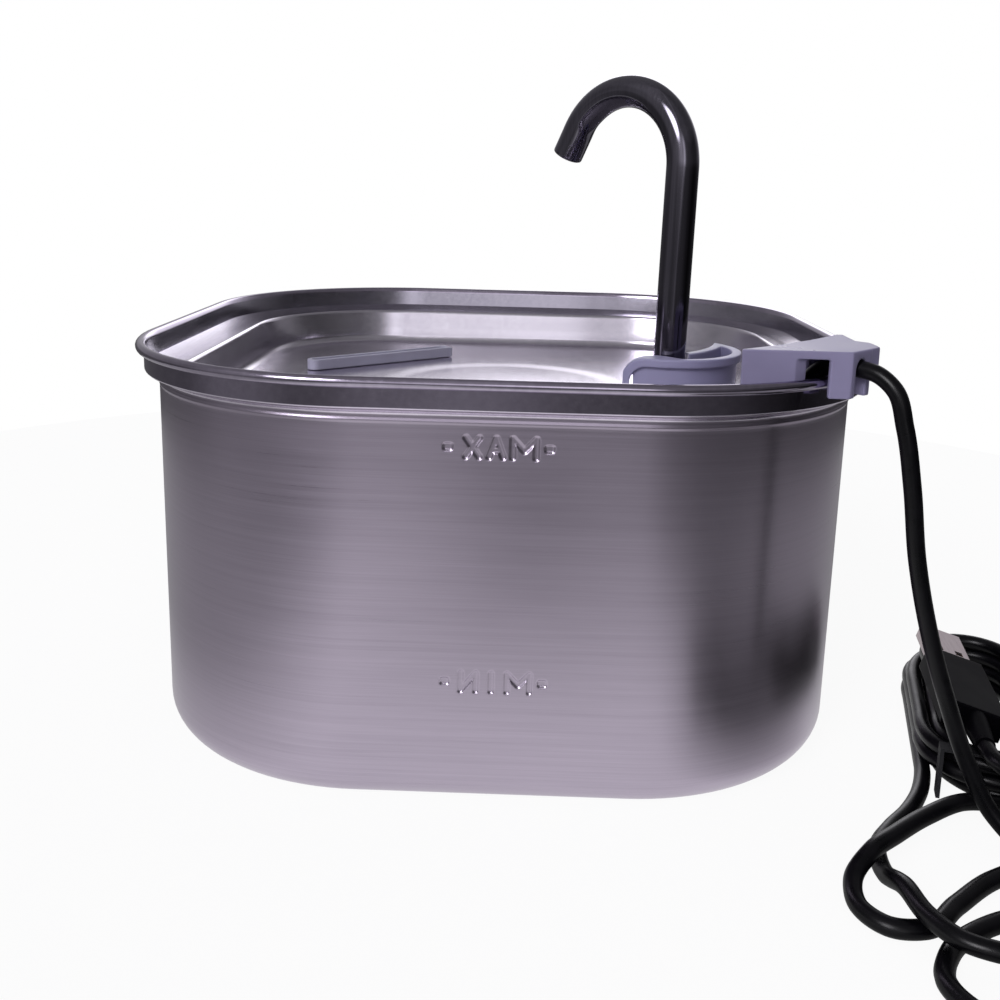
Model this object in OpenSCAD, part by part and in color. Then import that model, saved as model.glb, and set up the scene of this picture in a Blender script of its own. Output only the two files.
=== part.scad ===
// Pet water fountain: a steel bowl with a drinking tray, a swan-neck faucet and a submersible pump.
// Lengths are millimetres. The origin is the centre of the bowl's underside and Z points up.
// The pump corner is at +X, -Y. Its own frame has x running out to that corner and y along the rim.

/* [Bowl] */
// Width and depth of the bowl over its rim
bowl_w = 210; // [190:1:230]
// Height of the bowl to the top of its rim
bowl_h = 112.3; // [100:0.1:125]
// Corner radius of the rim
rim_r = 69.5; // [60:0.5:75]
// Radius of the rolled bead along the rim
lip_r = 1.4; // [1.1:0.1:1.8]
// Thickness of the bowl's sheet steel
bowl_wall = 0.8; // [0.6:0.1:1.2]
// Distance from the rim's edge in to the upright wall
body_inset = 6.15; // [5:0.05:7]
// Extra inset of the wall at its foot
body_taper = 0.5; // [0:0.1:1.5]
// Radius of the fillet round the foot
foot_fillet = 8.7; // [6:0.1:11]
// Height of the collar band under the rim
collar_h = 7.6; // [6:0.1:9]
// Radius of the stamped rise in the underside
base_step_r = 50; // [40:1:54]
// Height of the stamped rise in the underside
base_step_h = 1.2; // [0.6:0.1:2]
// Depth to which the level marks are pressed in
mark_relief = 0.35; // [0.2:0.05:0.6]
// Height of the letters of the level marks
mark_h = 4.7; // [4:0.1:7]
// Height of the lower mark's middle above the floor
min_mark_z = 34.5; // [28:0.5:45]
// Distance of the upper mark's middle below the top of the rim
max_mark_drop = 17.4; // [16:0.1:25]

/* [Drinking tray] */
// Thickness of the tray's sheet steel
tray_t = 0.6; // [0.5:0.1:1]
// Depth of the flange below the top of the rim
flange_drop = 8.3; // [7.5:0.1:9]
// Rise of the flange towards its outer edge
flange_rise = 1.5; // [1.5:0.05:1.8]
// Distance from the rim's edge in to the edge of the well
well_inset = 13.1; // [12.5:0.1:15]
// How much tighter the well's corners are than the rim's
well_tighter = 20.5; // [15:0.5:24]
// Depth of the well below the flange
well_depth = 12.3; // [10:0.1:14]
// How far the well's wall leans in
well_lean = 3; // [2:0.1:4]
// Fillet between the well's wall and its floor
well_fillet = 3.2; // [2:0.1:4]
// Outer radius of the dished middle of the floor
dish_r = 40; // [34:0.5:43]
// Depth of the dished middle
dish_depth = 1.3; // [0.8:0.1:2]
// Length of the drain slot
drain_len = 46; // [40:1:48]
// Width of the drain slot
drain_w = 4.2; // [3.6:0.1:4.6]

/* [Drain cover and filter] */
// Length of the drain cover
cover_len = 56; // [52:1:60]
// Width of the drain cover
cover_w = 5.5; // [5.2:0.1:7]
// Height of the drain cover
cover_h = 3.6; // [3:0.1:5]
// Turn of the drain cover from the X axis
cover_turn = 40; // [36:1:45]
// Distance from the side of the well in to the middle of the drain cover
cover_in = 36.3; // [35.8:0.1:36.8]
// How far the drain cover sits to the left along its own line
cover_left = 11; // [0:0.5:14]
// Width of the filter basket
basket_w = 28; // [24:1:30]
// Height of the filter basket
basket_h = 28; // [22:1:34]
// Wall of the filter basket
basket_wall = 1.6; // [1.2:0.1:2.2]
// Height of the carbon pack
carbon_h = 10; // [7:1:12]

/* [Faucet] */
// Outer diameter of the faucet tube
tube_d = 9; // [8:0.1:10]
// Wall of the faucet tube
tube_wall = 0.6; // [0.5:0.1:1]
// Distance of the faucet from the outermost point of the rim's corner
faucet_in = 54.5; // [53.5:0.1:56]
// Lean of the faucet in its soft seat
faucet_lean = 1; // [0:0.1:2]
// Height where the bend of the faucet begins
bend_start_z = 162.3; // [155:0.1:175]
// Radius of the faucet's bend
bend_r = 20.9; // [18:0.1:24]
// Angle of the faucet's bend
bend_angle = 151; // [130:1:165]
// Straight length after the bend
spout_len = 8.5; // [5:0.1:14]

/* [Pump hood] */
// Distance of the hood's outer edge from the outermost point of the rim's corner
hood_in = 38.5; // [37.5:0.1:39.5]
// Radius of the hood's outer edge
hood_r = 21.6; // [21:0.1:22.4]
// How far the hood's middle sits to the right of the faucet
hood_side = 7.4; // [6:0.1:9]
// Depth of the hood at its middle
hood_depth = 13.5; // [13:0.1:14.5]
// Height of the hood above the tray's floor
hood_h = 19; // [16:0.1:21]
// Radius of the hood's rounded left shoulder
hood_shoulder = 7; // [6:0.1:8]
// Height of the hood's rim band
hood_band = 2.4; // [2:0.1:3]
// Overhang of the hood's rim band
hood_out = 1.2; // [0.8:0.1:1.4]
// Wall of the hood
hood_wall = 1.6; // [1.4:0.1:1.8]

/* [Pump] */
// Height of the impeller's axis
axis_z = 24; // [23:0.5:26]
// Width and height of the pump's body
pump_w = 34; // [33:1:38]
// Length of the motor part of the pump
motor_len = 26.5; // [25:0.5:27]
// Width of the volute part along the axis
volute_len = 10.5; // [10.4:0.1:11.5]
// Radius of the volute's chamber
volute_r = 14; // [13.5:0.1:15]
// Wall of the pump's casings
pump_wall = 2; // [1.6:0.1:2.4]
// Radius of the impeller
impeller_r = 12.4; // [11:0.1:12.8]
// Number of the impeller's vanes
vanes = 6; // [4:1:8]
// Radius of the rotor's magnet
magnet_r = 6.3; // [5.5:0.1:6.6]
// Diameter of the rotor's shaft
shaft_d = 2; // [1.5:0.1:2.5]
// Outer diameter of the pump's outlet
outlet_d = 9; // [8:0.1:10]
// Depth of the intake basket in front of the pump
intake_len = 11; // [8:1:14]

/* [Cord and clip] */
// Diameter of the cord
cord_d = 4.3; // [4:0.1:4.6]
// Distance of the clip's straight faces from the rim's edge
clip_back = 13.6; // [13:0.1:14]
// Height of the clip above the rim
clip_rise = 6.9; // [6.5:0.1:7.5]
// Thickness of the clip's top plate
clip_plate = 2.1; // [1.8:0.1:2.3]
// Depth that the clip's legs reach below the rim
clip_leg = 4.7; // [3.5:0.1:5]
// Layers of cord in the hank
hank_layers = 3; // [2:1:4]

/* [Hidden] */
$fn = 96;
eps = 0.01;

// Clearances
slip = 0.3;          // between parts that lift off each other
run = 0.05;          // round the shaft in its bushes
lift_room = 0.9;     // round the faucet, so the tray lifts past its lean
rest_gap = 0.15;     // under a part that rests on another

// Bowl
half_w = bowl_w / 2;
rim_c = half_w - rim_r;
lip_z = bowl_h - lip_r;
band_inset = 2.2;
band_z = bowl_h - collar_h;
flare_drop = 2.2;
bead_h = 0.9;
bead_out = 0.45;
wall_top = band_z - flare_drop - bead_h - 1.3;
corner_out = rim_c * sqrt(2);
rim_out = corner_out + rim_r;
tank_floor = bowl_wall;
max_mark_z = bowl_h - max_mark_drop;
mark_x = 0.45;
mark_dash = 2.6;
mark_places = [-1.34, -0.13, 1.32];

// Tray
flange_z = bowl_h - flange_drop;
flange_inset = band_inset + bowl_wall + 0.5;
flange_slope = 5.5;
well_half = half_w - well_inset;
well_r = rim_r - well_tighter;
cover_out = well_half - cover_in;
well_c = well_half - well_r;
tray_floor = flange_z - well_depth;
tray_under = tray_floor - tray_t;
well_crest_out = well_c * sqrt(2) + well_r;
cover_x = -cover_out * sin(cover_turn) - cover_left * cos(cover_turn);
cover_y = cover_out * cos(cover_turn) - cover_left * sin(cover_turn);
peg_gap = 30;
hook_x = drain_len / 2 - drain_w / 2;
peg_d = drain_w - slip;

// Filter
basket_len = cover_len;
basket_top = tray_under;
basket_floor = basket_top - basket_h;
pocket_len = basket_len - 2 * basket_wall;
pocket_w = basket_w - 2 * basket_wall;
foam_top = basket_top - 6;
carbon_top = basket_floor + basket_wall + carbon_h;

// Faucet and pump, in the corner's frame
faucet_out = round(10 * (rim_out - faucet_in)) / 10;
tube_r = tube_d / 2;
bore_r = tube_r - tube_wall;
spout_swell = 0.04;  // the drawn end of the tube is a hair thicker
pump_top = axis_z + pump_w / 2;
outlet_top = pump_top + 10;
seat_len = 12;
seat_z = outlet_top + 1.5;
adaptor_wall = 1.8;
volute_in = faucet_out - volute_len / 2;
volute_out = faucet_out + volute_len / 2;
motor_out = volute_out + motor_len;
pump_foot = axis_z - pump_w / 2;
rotor_tube_r = magnet_r + 0.7;
rotor_tube_out = rotor_tube_r + 1.2;
rotor_end = motor_out - 8;
cup_x = [volute_out + 3, motor_out - 8];
cup_y = pump_w / 2 - 5;
cup_r = 6;

// Hood, between an outer circle and an inner one round the faucet's side
hood_top = tray_floor + hood_h;
hood_far = rim_out - hood_in;
hood_x = hood_far - hood_r;
hollow_r = 38.6;
hollow_x = hood_far - hood_depth - hollow_r;
hood_tip = 1.4;
hood_left = (hood_x + hood_tip + hood_side - hood_r) / sqrt(2) - 0.2;
hood_floor = tray_floor + 2;
hood_neck = 1.5;
plug_neck_r = 8;
plug_lip = 2;

// Clip
clip_face = half_w - clip_back;
clip_top = bowl_h + clip_rise;
clip_under = clip_top - clip_plate;
clip_foot = bowl_h - clip_leg;
clip_block_foot = flange_z + flange_rise + rest_gap;
clip_end = clip_face * sqrt(2) - 4.55;
clip_chord = clip_face * sqrt(2) - 25.5;
clip_tip_x = clip_chord + 3.2;
clip_tip_y = clip_face * sqrt(2) - clip_tip_x;
slot_in = rim_r - 2 * lip_r - slip;
slot_out = rim_r + slip;
channel_w = cord_d + 2 * slip;

// Cord inside the tank, in the corner's frame
rise_x = round(10 * (well_crest_out + 0.3)) / 10;
arch_z = bowl_h + cord_d / 2 + 0.15;
arch_r = 2 * cord_d;
turn_x = rise_x - arch_r;
gland_len = turn_x - motor_out;
cord_end = round(10 * clip_end / sqrt(2)) / 10;
cord_end_x = cord_end * sqrt(2);

// Route of the free cord from the clip to the hank, chosen by hand for the default sizes
START = [88.2, -88.2, 114.6];
ROUTE = [START, [91.1, -91, 113.9], [94.6, -94.2, 110.6], [97.1, -96.1, 102],
    [99.6, -97.6, 88], [102, -99, 70], [106, -101, 52], [111, -103, 36], [117, -105.5, 20],
    [123, -108.5, 9], [130, -112, 3.2], [139, -113, 2.4], [146.1, -110, 2.2], [148.7, -103.9, 2.2],
    [146.5, -98, 2.4], [140, -95.2, 2.9], [131, -95.8, 4.5], [119, -99.6, 7], [108, -106, 7],
    [97.5, -114.5, 7.2], [89.5, -121.2, 6.8], [83.6, -127.8, 4], [82.9, -134.9, 2.6], [87.3, -140.5, 2.2],
    [95.5, -141, 2.2], [105, -133, 2.2], [118, -123, 2.2], [130.2, -118.4, 2.2], [137.4, -120.6, 2.2],
    [141.2, -126.9, 2.2], [139.2, -134, 2.2], [131.8, -137.4, 2.2], [120, -136, 2.2], [107.5, -140.5, 2.2],
    [98, -148, 2.2], [93.8, -157, 2.2], [98, -165.8, 2.2], [109, -168, 2.2], [122, -167, 2.2],
    [132.4, -164.4, 2.2], [136, -157.4, 2.2], [133.2, -150.4, 2.3], [126, -148.2, 2.5],
    [116.5, -151.3, 4.4], [107, -154, 6.9], [99, -150.6, 7.1], [94.6, -143, 7], [93.2, -133.5, 6.8],
    [92.4, -123, 2.8], [94, -113, 2.3], [100, -104.5, 2.2], [106.8, -97, 2.2], [112.6, -88.5, 2.2],
    [117, -79, 2.2], [120.1, -68.4, 2.2]];
TAIL = [[151, -68, 15.25], [150.4, -70.3, 15.25], [149.6, -75.6, 15.4], [148.9, -81.2, 15.8],
    [148.6, -86.9, 16.3], [148.6, -92.6, 16.6], [147.4, -97.6, 16.3], [143.9, -101.4, 15.9],
    [139.1, -103.1, 15.5], [134, -102.4, 15.5], [130.1, -99.7, 15.9], [127.9, -95.9, 16.6],
    [127.6, -90.3, 17.3]];
cord_sides = 10;
ring_step = 9.7;

// Hank, tie and plug
hank_x = 142;
hank_y = -52.5;
hank_turn = 75;
hank_run = 42;
hank_r = 19.2;
hank_pitch = cord_d + 0.05;
hank_gap = hank_r - 2 * hank_pitch;
hank_h = hank_layers * hank_pitch;
hank_top = hank_h + hank_pitch;
last_turn_x = 6;
tie_x = -37;
tie_w = 4;
tie_half = sqrt(hank_r * hank_r - (-tie_x - tie_w / 2 - hank_run / 2) * (-tie_x - tie_w / 2 - hank_run / 2)) + slip;
plug_x = 135;
plug_y = -47;
plug_z = hank_top + 2;
plug_turn = 80.3;
plug_roll = 16.3;
plug_pitch = -2.7;
usb_w = 12;
usb_t = 4.5;
usb_len = 19;
usb_sheet = 0.4;
grip_len = 32;
grip_w = 16;
grip_t = 7.6;
relief_len = 12;

// ---- Helpers ----

// The frame of the pump corner
module corner() { rotate([0, 0, -45]) children(); }

// The frame of the drain cover, with x along the cover
module drain_frame() { translate([cover_x, cover_y, 0]) rotate([0, 0, cover_turn]) children(); }

// The frame of the impeller's axis, with z running back along the motor from the volute's front
module motor_frame() { corner() translate([volute_in, 0, axis_z]) rotate([0, 90, 0]) children(); }

// The frame of the leaning faucet, with z along the tube and x the way the spout points
module faucet_frame() {
    corner() translate([faucet_out, 0, seat_z]) rotate([0, 0, 45]) rotate([0, faucet_lean, 0])
        rotate([0, 0, 135]) children();
}

// A plate with four round corners
module round_plate(half, r, h) {
    c = half - r;
    translate([-half, -c, 0]) cube([2 * half, 2 * c, h]);
    translate([-c, -half, 0]) cube([2 * c, 2 * half, h]);
    for (x = [-c, c], y = [-c, c]) translate([x, y, 0]) cylinder(r = r, h = h);
}

// Sweeps a profile round a square with round corners; the profile's x starts at the corner's centre
module square_sweep(c) {
    for (side = [0:3]) rotate([0, 0, 90 * side]) translate([c, c, 0]) {
        rotate_extrude(angle = 90) children();
        rotate([90, 0, 0]) linear_extrude(2 * c) children();
    }
}

// A flat slot or bar with round ends, along x
module stadium(len, w, h) {
    translate([-(len - w) / 2, -w / 2, 0]) cube([len - w, w, h]);
    for (x = [-(len - w) / 2, (len - w) / 2]) translate([x, 0, 0]) cylinder(d = w, h = h);
}

// A box centred on x and y
module block(size) { translate([-size[0] / 2, -size[1] / 2, 0]) cube(size); }

// A straight stroke of a letter, drawn flat
module stroke(a, b, w) {
    d = b - a;
    translate(a) rotate(atan2(d[1], d[0])) translate([-w / 2, -w / 2]) square([norm(d) + w, w]);
}

// ---- Bowl ----

module bowl_profile() {
    r = rim_r;
    foot_c = r - body_inset - body_taper - foot_fillet;
    wall_in = r - body_inset;
    arc = [for (a = [-90:10:0]) [foot_c + foot_fillet * cos(a), foot_fillet + foot_fillet * sin(a)]];
    in_r = foot_fillet - bowl_wall;
    arc_in = [for (a = [0:-10:-90]) [foot_c + in_r * cos(a), foot_fillet + in_r * sin(a)]];
    w = bowl_wall;
    polygon(concat([[foot_c - 1, 0]], arc, [
        [wall_in, wall_top], [wall_in + bead_out, wall_top + bead_h / 2], [wall_in, wall_top + bead_h],
        [wall_in, band_z - flare_drop], [r - band_inset, band_z], [r - band_inset, lip_z - 0.6],
        [r - band_inset - w, lip_z], [r - band_inset - w, band_z + 0.3],
        [wall_in - w, band_z - flare_drop + 0.3], [wall_in - w, wall_top]],
        arc_in, [[foot_c - 1, w]]));
    translate([r - lip_r, lip_z]) circle(r = lip_r);
}

// Two dashes and three letters of a level mark, as strokes that run outward from a depth behind the wall's face
module level_mark(z, letters, start, depth) {
    s = mark_h;
    y = -half_w + body_inset + body_taper * (1 - z / wall_top) + start;
    translate([mark_x, y, z]) rotate([90, 0, 0]) linear_extrude(depth) {
        for (x = [-mark_dash, mark_dash]) stroke([(x - 0.07) * s, 0], [(x + 0.07) * s, 0], 0.4 * s);
        for (i = [0:2]) translate([mark_places[i] * s, -s / 2]) letter_strokes(letters[i], s, 0.27 * s);
    }
}

// Both marks, of letters pressed into the wall
module level_marks(start, depth) {
    level_mark(max_mark_z, ["X", "A", "M"], start, depth);
    level_mark(min_mark_z, ["N", "I", "M"], start, depth);
}

// The letters stand mirrored, because they are pressed to be read from the inside
module letter_strokes(name, s, w) {
    lines = name == "M" ? [[[-0.6, 0], [-0.6, 1]], [[-0.6, 1], [0, 0.35]], [[0, 0.35], [0.6, 1]], [[0.6, 1], [0.6, 0]]]
        : name == "A" ? [[[-0.36, 0], [0, 1]], [[0, 1], [0.36, 0]], [[-0.2, 0.35], [0.2, 0.35]]]
        : name == "X" ? [[[-0.34, 0], [0.34, 1]], [[-0.34, 1], [0.34, 0]]]
        : name == "N" ? [[[-0.4, 0], [-0.4, 1]], [[-0.4, 0], [0.4, 1]], [[0.4, 0], [0.4, 1]]]
        : [[[0, 0], [0, 1]]];
    for (l = lines) stroke(l[0] * s, l[1] * s, w);
}

module bowl() color([0.62, 0.61, 0.66]) {
    difference() {
        square_sweep(rim_c) bowl_profile();
        level_marks(mark_relief, mark_relief + 0.5);
    }
    level_marks(bowl_wall + mark_relief, mark_relief + 0.3);
    inner = half_w - body_inset - body_taper - foot_fillet;
    difference() {
        round_plate(inner, inner - rim_c, bowl_wall);
        translate([0, 0, -1]) cylinder(r = base_step_r, h = bowl_wall + 2);
    }
    rotate_extrude() polygon([[0, base_step_h], [base_step_r - 2, base_step_h], [base_step_r - 0.5, 0],
        [base_step_r + 1, 0], [base_step_r + 1, bowl_wall], [base_step_r, bowl_wall],
        [base_step_r - 1.5, base_step_h + bowl_wall], [0, base_step_h + bowl_wall]]);
}

// ---- Drinking tray ----

module well_profile() {
    t = tray_t;
    foot = well_r - well_lean;
    fil = [for (a = [0:-15:-90]) [foot - well_fillet + well_fillet * cos(a), tray_floor + well_fillet
        + well_fillet * sin(a)]];
    fr = well_fillet + t;
    fil_out = [for (a = [-90:15:0]) [foot - well_fillet + fr * cos(a), tray_floor + well_fillet + fr * sin(a)]];
    polygon(concat([[well_r + 1, flange_z], [well_r, flange_z], [well_r - 0.5, flange_z - 0.3],
        [well_r - 0.8, flange_z - 1]], fil, [[foot - well_fillet - 1, tray_floor],
        [foot - well_fillet - 1, tray_under]], fil_out,
        [[well_r - 0.8 + t, flange_z - 1.2], [well_r + 1, flange_z - t]]));
}

module drinking_tray() color([0.78, 0.78, 0.82]) difference() {
    union() {
        edge = rim_r - flange_inset;
        flat = flange_inset + flange_slope;
        difference() {
            translate([0, 0, flange_z - tray_t]) round_plate(half_w - flat, rim_r - flat, tray_t);
            translate([0, 0, flange_z - 2 * tray_t]) round_plate(well_half, well_r, 3 * tray_t);
        }
        square_sweep(rim_c) polygon([[edge - flange_slope - 0.3, flange_z - tray_t], [edge - flange_slope, flange_z - tray_t],
            [edge, flange_z + flange_rise - tray_t], [edge, flange_z + flange_rise],
            [edge - flange_slope, flange_z], [edge - flange_slope - 0.3, flange_z]]);
        square_sweep(well_c) well_profile();
        floor_half = well_half - well_lean - well_fillet;
        difference() {
            translate([0, 0, tray_under]) round_plate(floor_half, floor_half - well_c, tray_t);
            translate([0, 0, tray_under - 1]) cylinder(r = dish_r - 0.5, h = tray_t + 2);
        }
        z = tray_floor;
        rotate_extrude() polygon([[0, z - dish_depth], [dish_r - 2.5, z - dish_depth], [dish_r - 0.5, z], [dish_r + 1, z],
            [dish_r + 1, z - tray_t], [dish_r, z - tray_t], [dish_r - 2, z - dish_depth - tray_t],
            [0, z - dish_depth - tray_t]]);
    }
    drain_frame() translate([0, 0, tray_under - 1]) stadium(drain_len, drain_w, tray_t + 2);
    corner() translate([faucet_out, 0, tray_under - 1]) cylinder(r = plug_neck_r + run, h = tray_t + 2);
    corner() translate([rise_x - channel_w / 2 - slip, -channel_w / 2, tray_floor + well_fillet + 1])
        cube([30, channel_w, 30]);
}

// ---- Drain cover and filter ----

module drain_cover() color([0.52, 0.51, 0.60]) drain_frame() translate([0, 0, tray_floor + rest_gap]) {
    half = cover_len / 2;
    difference() {
        union() {
            translate([-half + cover_w / 2, 0, 0]) cylinder(d = cover_w, h = cover_h);
            translate([-half + cover_w / 2, -cover_w / 2, 0]) cube([cover_len - cover_w / 2, cover_w, cover_h]);
        }
        translate([0, 0, cover_h - 0.9]) stadium(cover_len - 3, cover_w - 2.4, 2);
        for (x = [-20:10:20]) translate([x - 2.5, cover_w / 2 - 1.4, -1]) cube([5, 4, 2]);
    }
    for (x = [-peg_gap / 2, peg_gap / 2]) translate([x, 0, -tray_t - 5]) cylinder(d = peg_d, h = 6 + tray_t);
}

module filter_basket() color([0.80, 0.80, 0.84]) drain_frame() {
    difference() {
        translate([0, 0, basket_floor]) block([basket_len, basket_w, basket_h]);
        translate([0, 0, basket_floor + basket_wall]) block([pocket_len, pocket_w, basket_h - 2 * basket_wall - 2]);
        for (x = [-18:6:18]) translate([x - 1.5, -pocket_w / 2 + 2, basket_floor - 1]) cube([3, pocket_w - 4, 4]);
        translate([0, 0, basket_top - 5]) stadium(drain_len - 8, drain_w, 6);
        for (x = [-peg_gap / 2, peg_gap / 2]) translate([x, 0, basket_top - 6]) cylinder(d = peg_d + slip, h = 7);
    }
    for (x = [-hook_x, hook_x]) translate([x, 0, basket_top - 1]) cylinder(d = peg_d, h = 1 + tray_t);
}

module filter_foam() color([0.95, 0.95, 0.97]) drain_frame() translate([0, 0, carbon_top + slip])
    block([pocket_len - 2 * slip, pocket_w - 2 * slip, foam_top - carbon_top - 2 * slip]);

module carbon_pack() color([0.20, 0.20, 0.22]) drain_frame() translate([0, 0, basket_floor + basket_wall + rest_gap])
    block([pocket_len - 2 * slip, pocket_w - 2 * slip, carbon_h - rest_gap]);

// ---- Faucet ----

module tube_section(extra) difference() { circle(r = tube_r + extra); circle(r = bore_r - extra); }

module faucet_tube() color([0.30, 0.29, 0.33]) faucet_frame() {
    straight = (bend_start_z - seat_z) / cos(faucet_lean);
    linear_extrude(straight) tube_section(0);
    translate([bend_r, 0, straight]) rotate([-90, 0, 0]) rotate([0, 0, 180])
        rotate_extrude(angle = bend_angle) translate([bend_r, 0]) tube_section(0);
    translate([bend_r, 0, straight]) rotate([0, bend_angle, 0]) translate([-bend_r, 0, 0])
        linear_extrude(spout_len) tube_section(spout_swell);
}

module outlet_adaptor() color([0.86, 0.86, 0.88]) {
    r_out = tube_r + run + adaptor_wall;
    corner() translate([faucet_out, 0, pump_top + slip]) difference() {
        cylinder(r = outlet_d / 2 + adaptor_wall, h = outlet_top - pump_top + 0.6);
        translate([0, 0, -1]) cylinder(r = outlet_d / 2 + run, h = outlet_top - pump_top + 3);
    }
    difference() {
        faucet_frame() translate([0, 0, -1.4]) cylinder(r = r_out, h = seat_len + 1.4);
        faucet_frame() cylinder(r = tube_r + run, h = seat_len + 1);
        faucet_frame() translate([0, 0, -3]) cylinder(r = bore_r, h = 5);
        corner() translate([faucet_out, 0, outlet_top - 5]) cylinder(r = outlet_d / 2 + run, h = 5 + 2 * run);
    }
}

// ---- Pump hood ----

// The hood's plan, a crescent drawn in by inset
module crescent(inset, h) difference() {
    translate([hood_x, hood_side, 0]) cylinder(r = hood_r - inset, h = h);
    translate([hollow_x, hood_side, -1]) cylinder(r = hollow_r + inset, h = h + 2);
}

// The hood's front view with its rounded left shoulder, drawn in by inset and extruded from front to back
module hood_front_view(inset) rotate([0, 0, 45]) rotate([90, 0, 0]) linear_extrude(rim_out) {
    low = tray_floor - 1;
    knee = hood_left + hood_shoulder;
    translate([hood_left + inset, low]) square([2 * hood_r + 5, hood_top - hood_shoulder - low]);
    translate([knee, low]) square([2 * hood_r + 5, hood_top - inset - low]);
    translate([knee, hood_top - hood_shoulder]) circle(r = hood_shoulder - inset);
}

module pump_hood() color([0.53, 0.52, 0.62]) {
    ring_r = tube_r + lift_room + hood_neck;
    difference() {
        corner() {
            intersection() {
                translate([0, 0, tray_floor]) crescent(hood_out, hood_h + 1);
                hood_front_view(hood_out);
            }
            difference() {
                intersection() {
                    translate([0, 0, tray_floor]) crescent(0, hood_h + 1);
                    hood_front_view(0);
                }
                hood_front_view(hood_band);
            }
            translate([faucet_out, 0, tray_floor]) cylinder(r = ring_r, h = hood_h - hood_band - slip);
            translate([faucet_out, 0, tray_floor]) cylinder(r = plug_neck_r + plug_lip, h = 1.5);
            translate([faucet_out, 0, tray_under - eps]) cylinder(r = plug_neck_r, h = tray_t + 0.1);
            translate([faucet_out, 0, tray_under - 2]) cylinder(r = plug_neck_r + plug_lip, h = 2);
        }
        corner() intersection() {
            translate([0, 0, hood_floor]) crescent(hood_out + hood_wall, hood_h);
            translate([hood_x - hood_r, -4, hood_floor]) cube([2 * hood_r, 2 * hood_r, hood_h]);
        }
        faucet_frame() cylinder(r = tube_r + lift_room, h = hood_top);
    }
}

// ---- Pump ----

module pump_housing() color([0.12, 0.12, 0.13]) difference() {
    union() {
        motor_frame() translate([0, 0, 0]) block([pump_w, pump_w, volute_len + motor_len]);
        corner() translate([faucet_out, 0, pump_top - 1]) cylinder(d = outlet_d, h = outlet_top - pump_top + 1);
    }
    motor_frame() translate([0, 0, -1]) cylinder(r = volute_r, h = volute_len - pump_wall + 1);
    corner() translate([faucet_out, 0, axis_z]) cylinder(d = outlet_d - 3, h = pump_w);
    motor_frame() cylinder(r = rotor_tube_r, h = rotor_end - volute_in);
    motor_frame() translate([0, 0, volute_len + pump_wall]) difference() {
        block([pump_w - 2 * pump_wall, pump_w - 2 * pump_wall, motor_len]);
        translate([0, 0, -1]) cylinder(r = rotor_tube_out, h = rotor_end - volute_out - pump_wall + 2.2);
    }
    for (x = cup_x, y = [-cup_y, cup_y]) corner() translate([x, y, pump_foot - 1]) cylinder(r = 1.6, h = 2.4);
}

module pump_cover() color([0.14, 0.14, 0.15]) motor_frame() difference() {
    union() {
        translate([0, 0, -2]) block([pump_w, pump_w, 2 - run]);
        translate([0, 0, -2 - intake_len]) block([pump_w, pump_w, intake_len + 1]);
        translate([0, 0, -run - 1]) cylinder(r = volute_r - 0.15, h = 2);
    }
    translate([0, 0, -2 - intake_len + 1.6]) block([pump_w - 3.2, pump_w - 3.2, intake_len - 1.6]);
    translate([0, 0, -intake_len - 3]) cylinder(r = shaft_d / 2 + 1 + run, h = 3 + intake_len + 3);
    for (a = [0:60:300]) rotate([0, 0, a]) translate([6, 0, -3]) cylinder(r = 2, h = 6);
    for (y = [-12:4:12]) translate([-pump_w / 2 + 4, y - 1, -3 - intake_len]) cube([pump_w - 8, 2, 4]);
}

module intake_foam() color([0.16, 0.16, 0.17]) motor_frame() translate([0, 0, -2 - intake_len + 1.6 + rest_gap])
    block([pump_w - 3.2 - 2 * slip, pump_w - 3.2 - 2 * slip, intake_len - 1.6 - 0.6]);

module impeller() color([0.92, 0.92, 0.94]) motor_frame() difference() {
    union() {
        translate([0, 0, 1.8]) cylinder(r = 4, h = volute_len - pump_wall - 1.5);
        translate([0, 0, volute_len - pump_wall - 1.6]) cylinder(r = impeller_r, h = 1.2);
        for (i = [0:vanes - 1]) rotate([0, 0, i * 360 / vanes]) translate([3, -0.6, 2])
            cube([impeller_r - 3.4, 1.2, volute_len - pump_wall - 3]);
        translate([0, 0, volute_len - pump_wall - 1]) cylinder(r = magnet_r - 0.6, h = 3);
    }
    translate([0, 0, -1]) cylinder(r = shaft_d / 2 + run, h = volute_len + 9);
}

module rotor_magnet() color([0.25, 0.24, 0.24]) motor_frame() difference() {
    translate([0, 0, volute_len]) cylinder(r = magnet_r, h = rotor_end - volute_out - 4);
    translate([0, 0, volute_len - 1]) cylinder(r = shaft_d / 2 + run, h = motor_len);
}

module rotor_shaft() color([0.97, 0.97, 0.95]) motor_frame() cylinder(d = shaft_d, h = rotor_end - volute_in - 0.5);

module shaft_bushes() color([0.10, 0.10, 0.11]) motor_frame() for (z = [-2.2, rotor_end - volute_in - 3.2])
    translate([0, 0, z]) difference() {
        cylinder(r = z < 0 ? shaft_d / 2 + 1 : rotor_tube_r - run, h = 3);
        translate([0, 0, z < 0 ? 2 : -1]) cylinder(r = shaft_d / 2 + run, h = 5);
    }

module stator_core() color([0.45, 0.45, 0.48]) motor_frame() translate([0, 0, volute_len + pump_wall + 4]) difference() {
    block([pump_w - 2 * pump_wall - 2 * slip, pump_w - 2 * pump_wall - 2 * slip, 8]);
    translate([0, 0, -1]) cylinder(r = rotor_tube_out + slip, h = 10);
}

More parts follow.
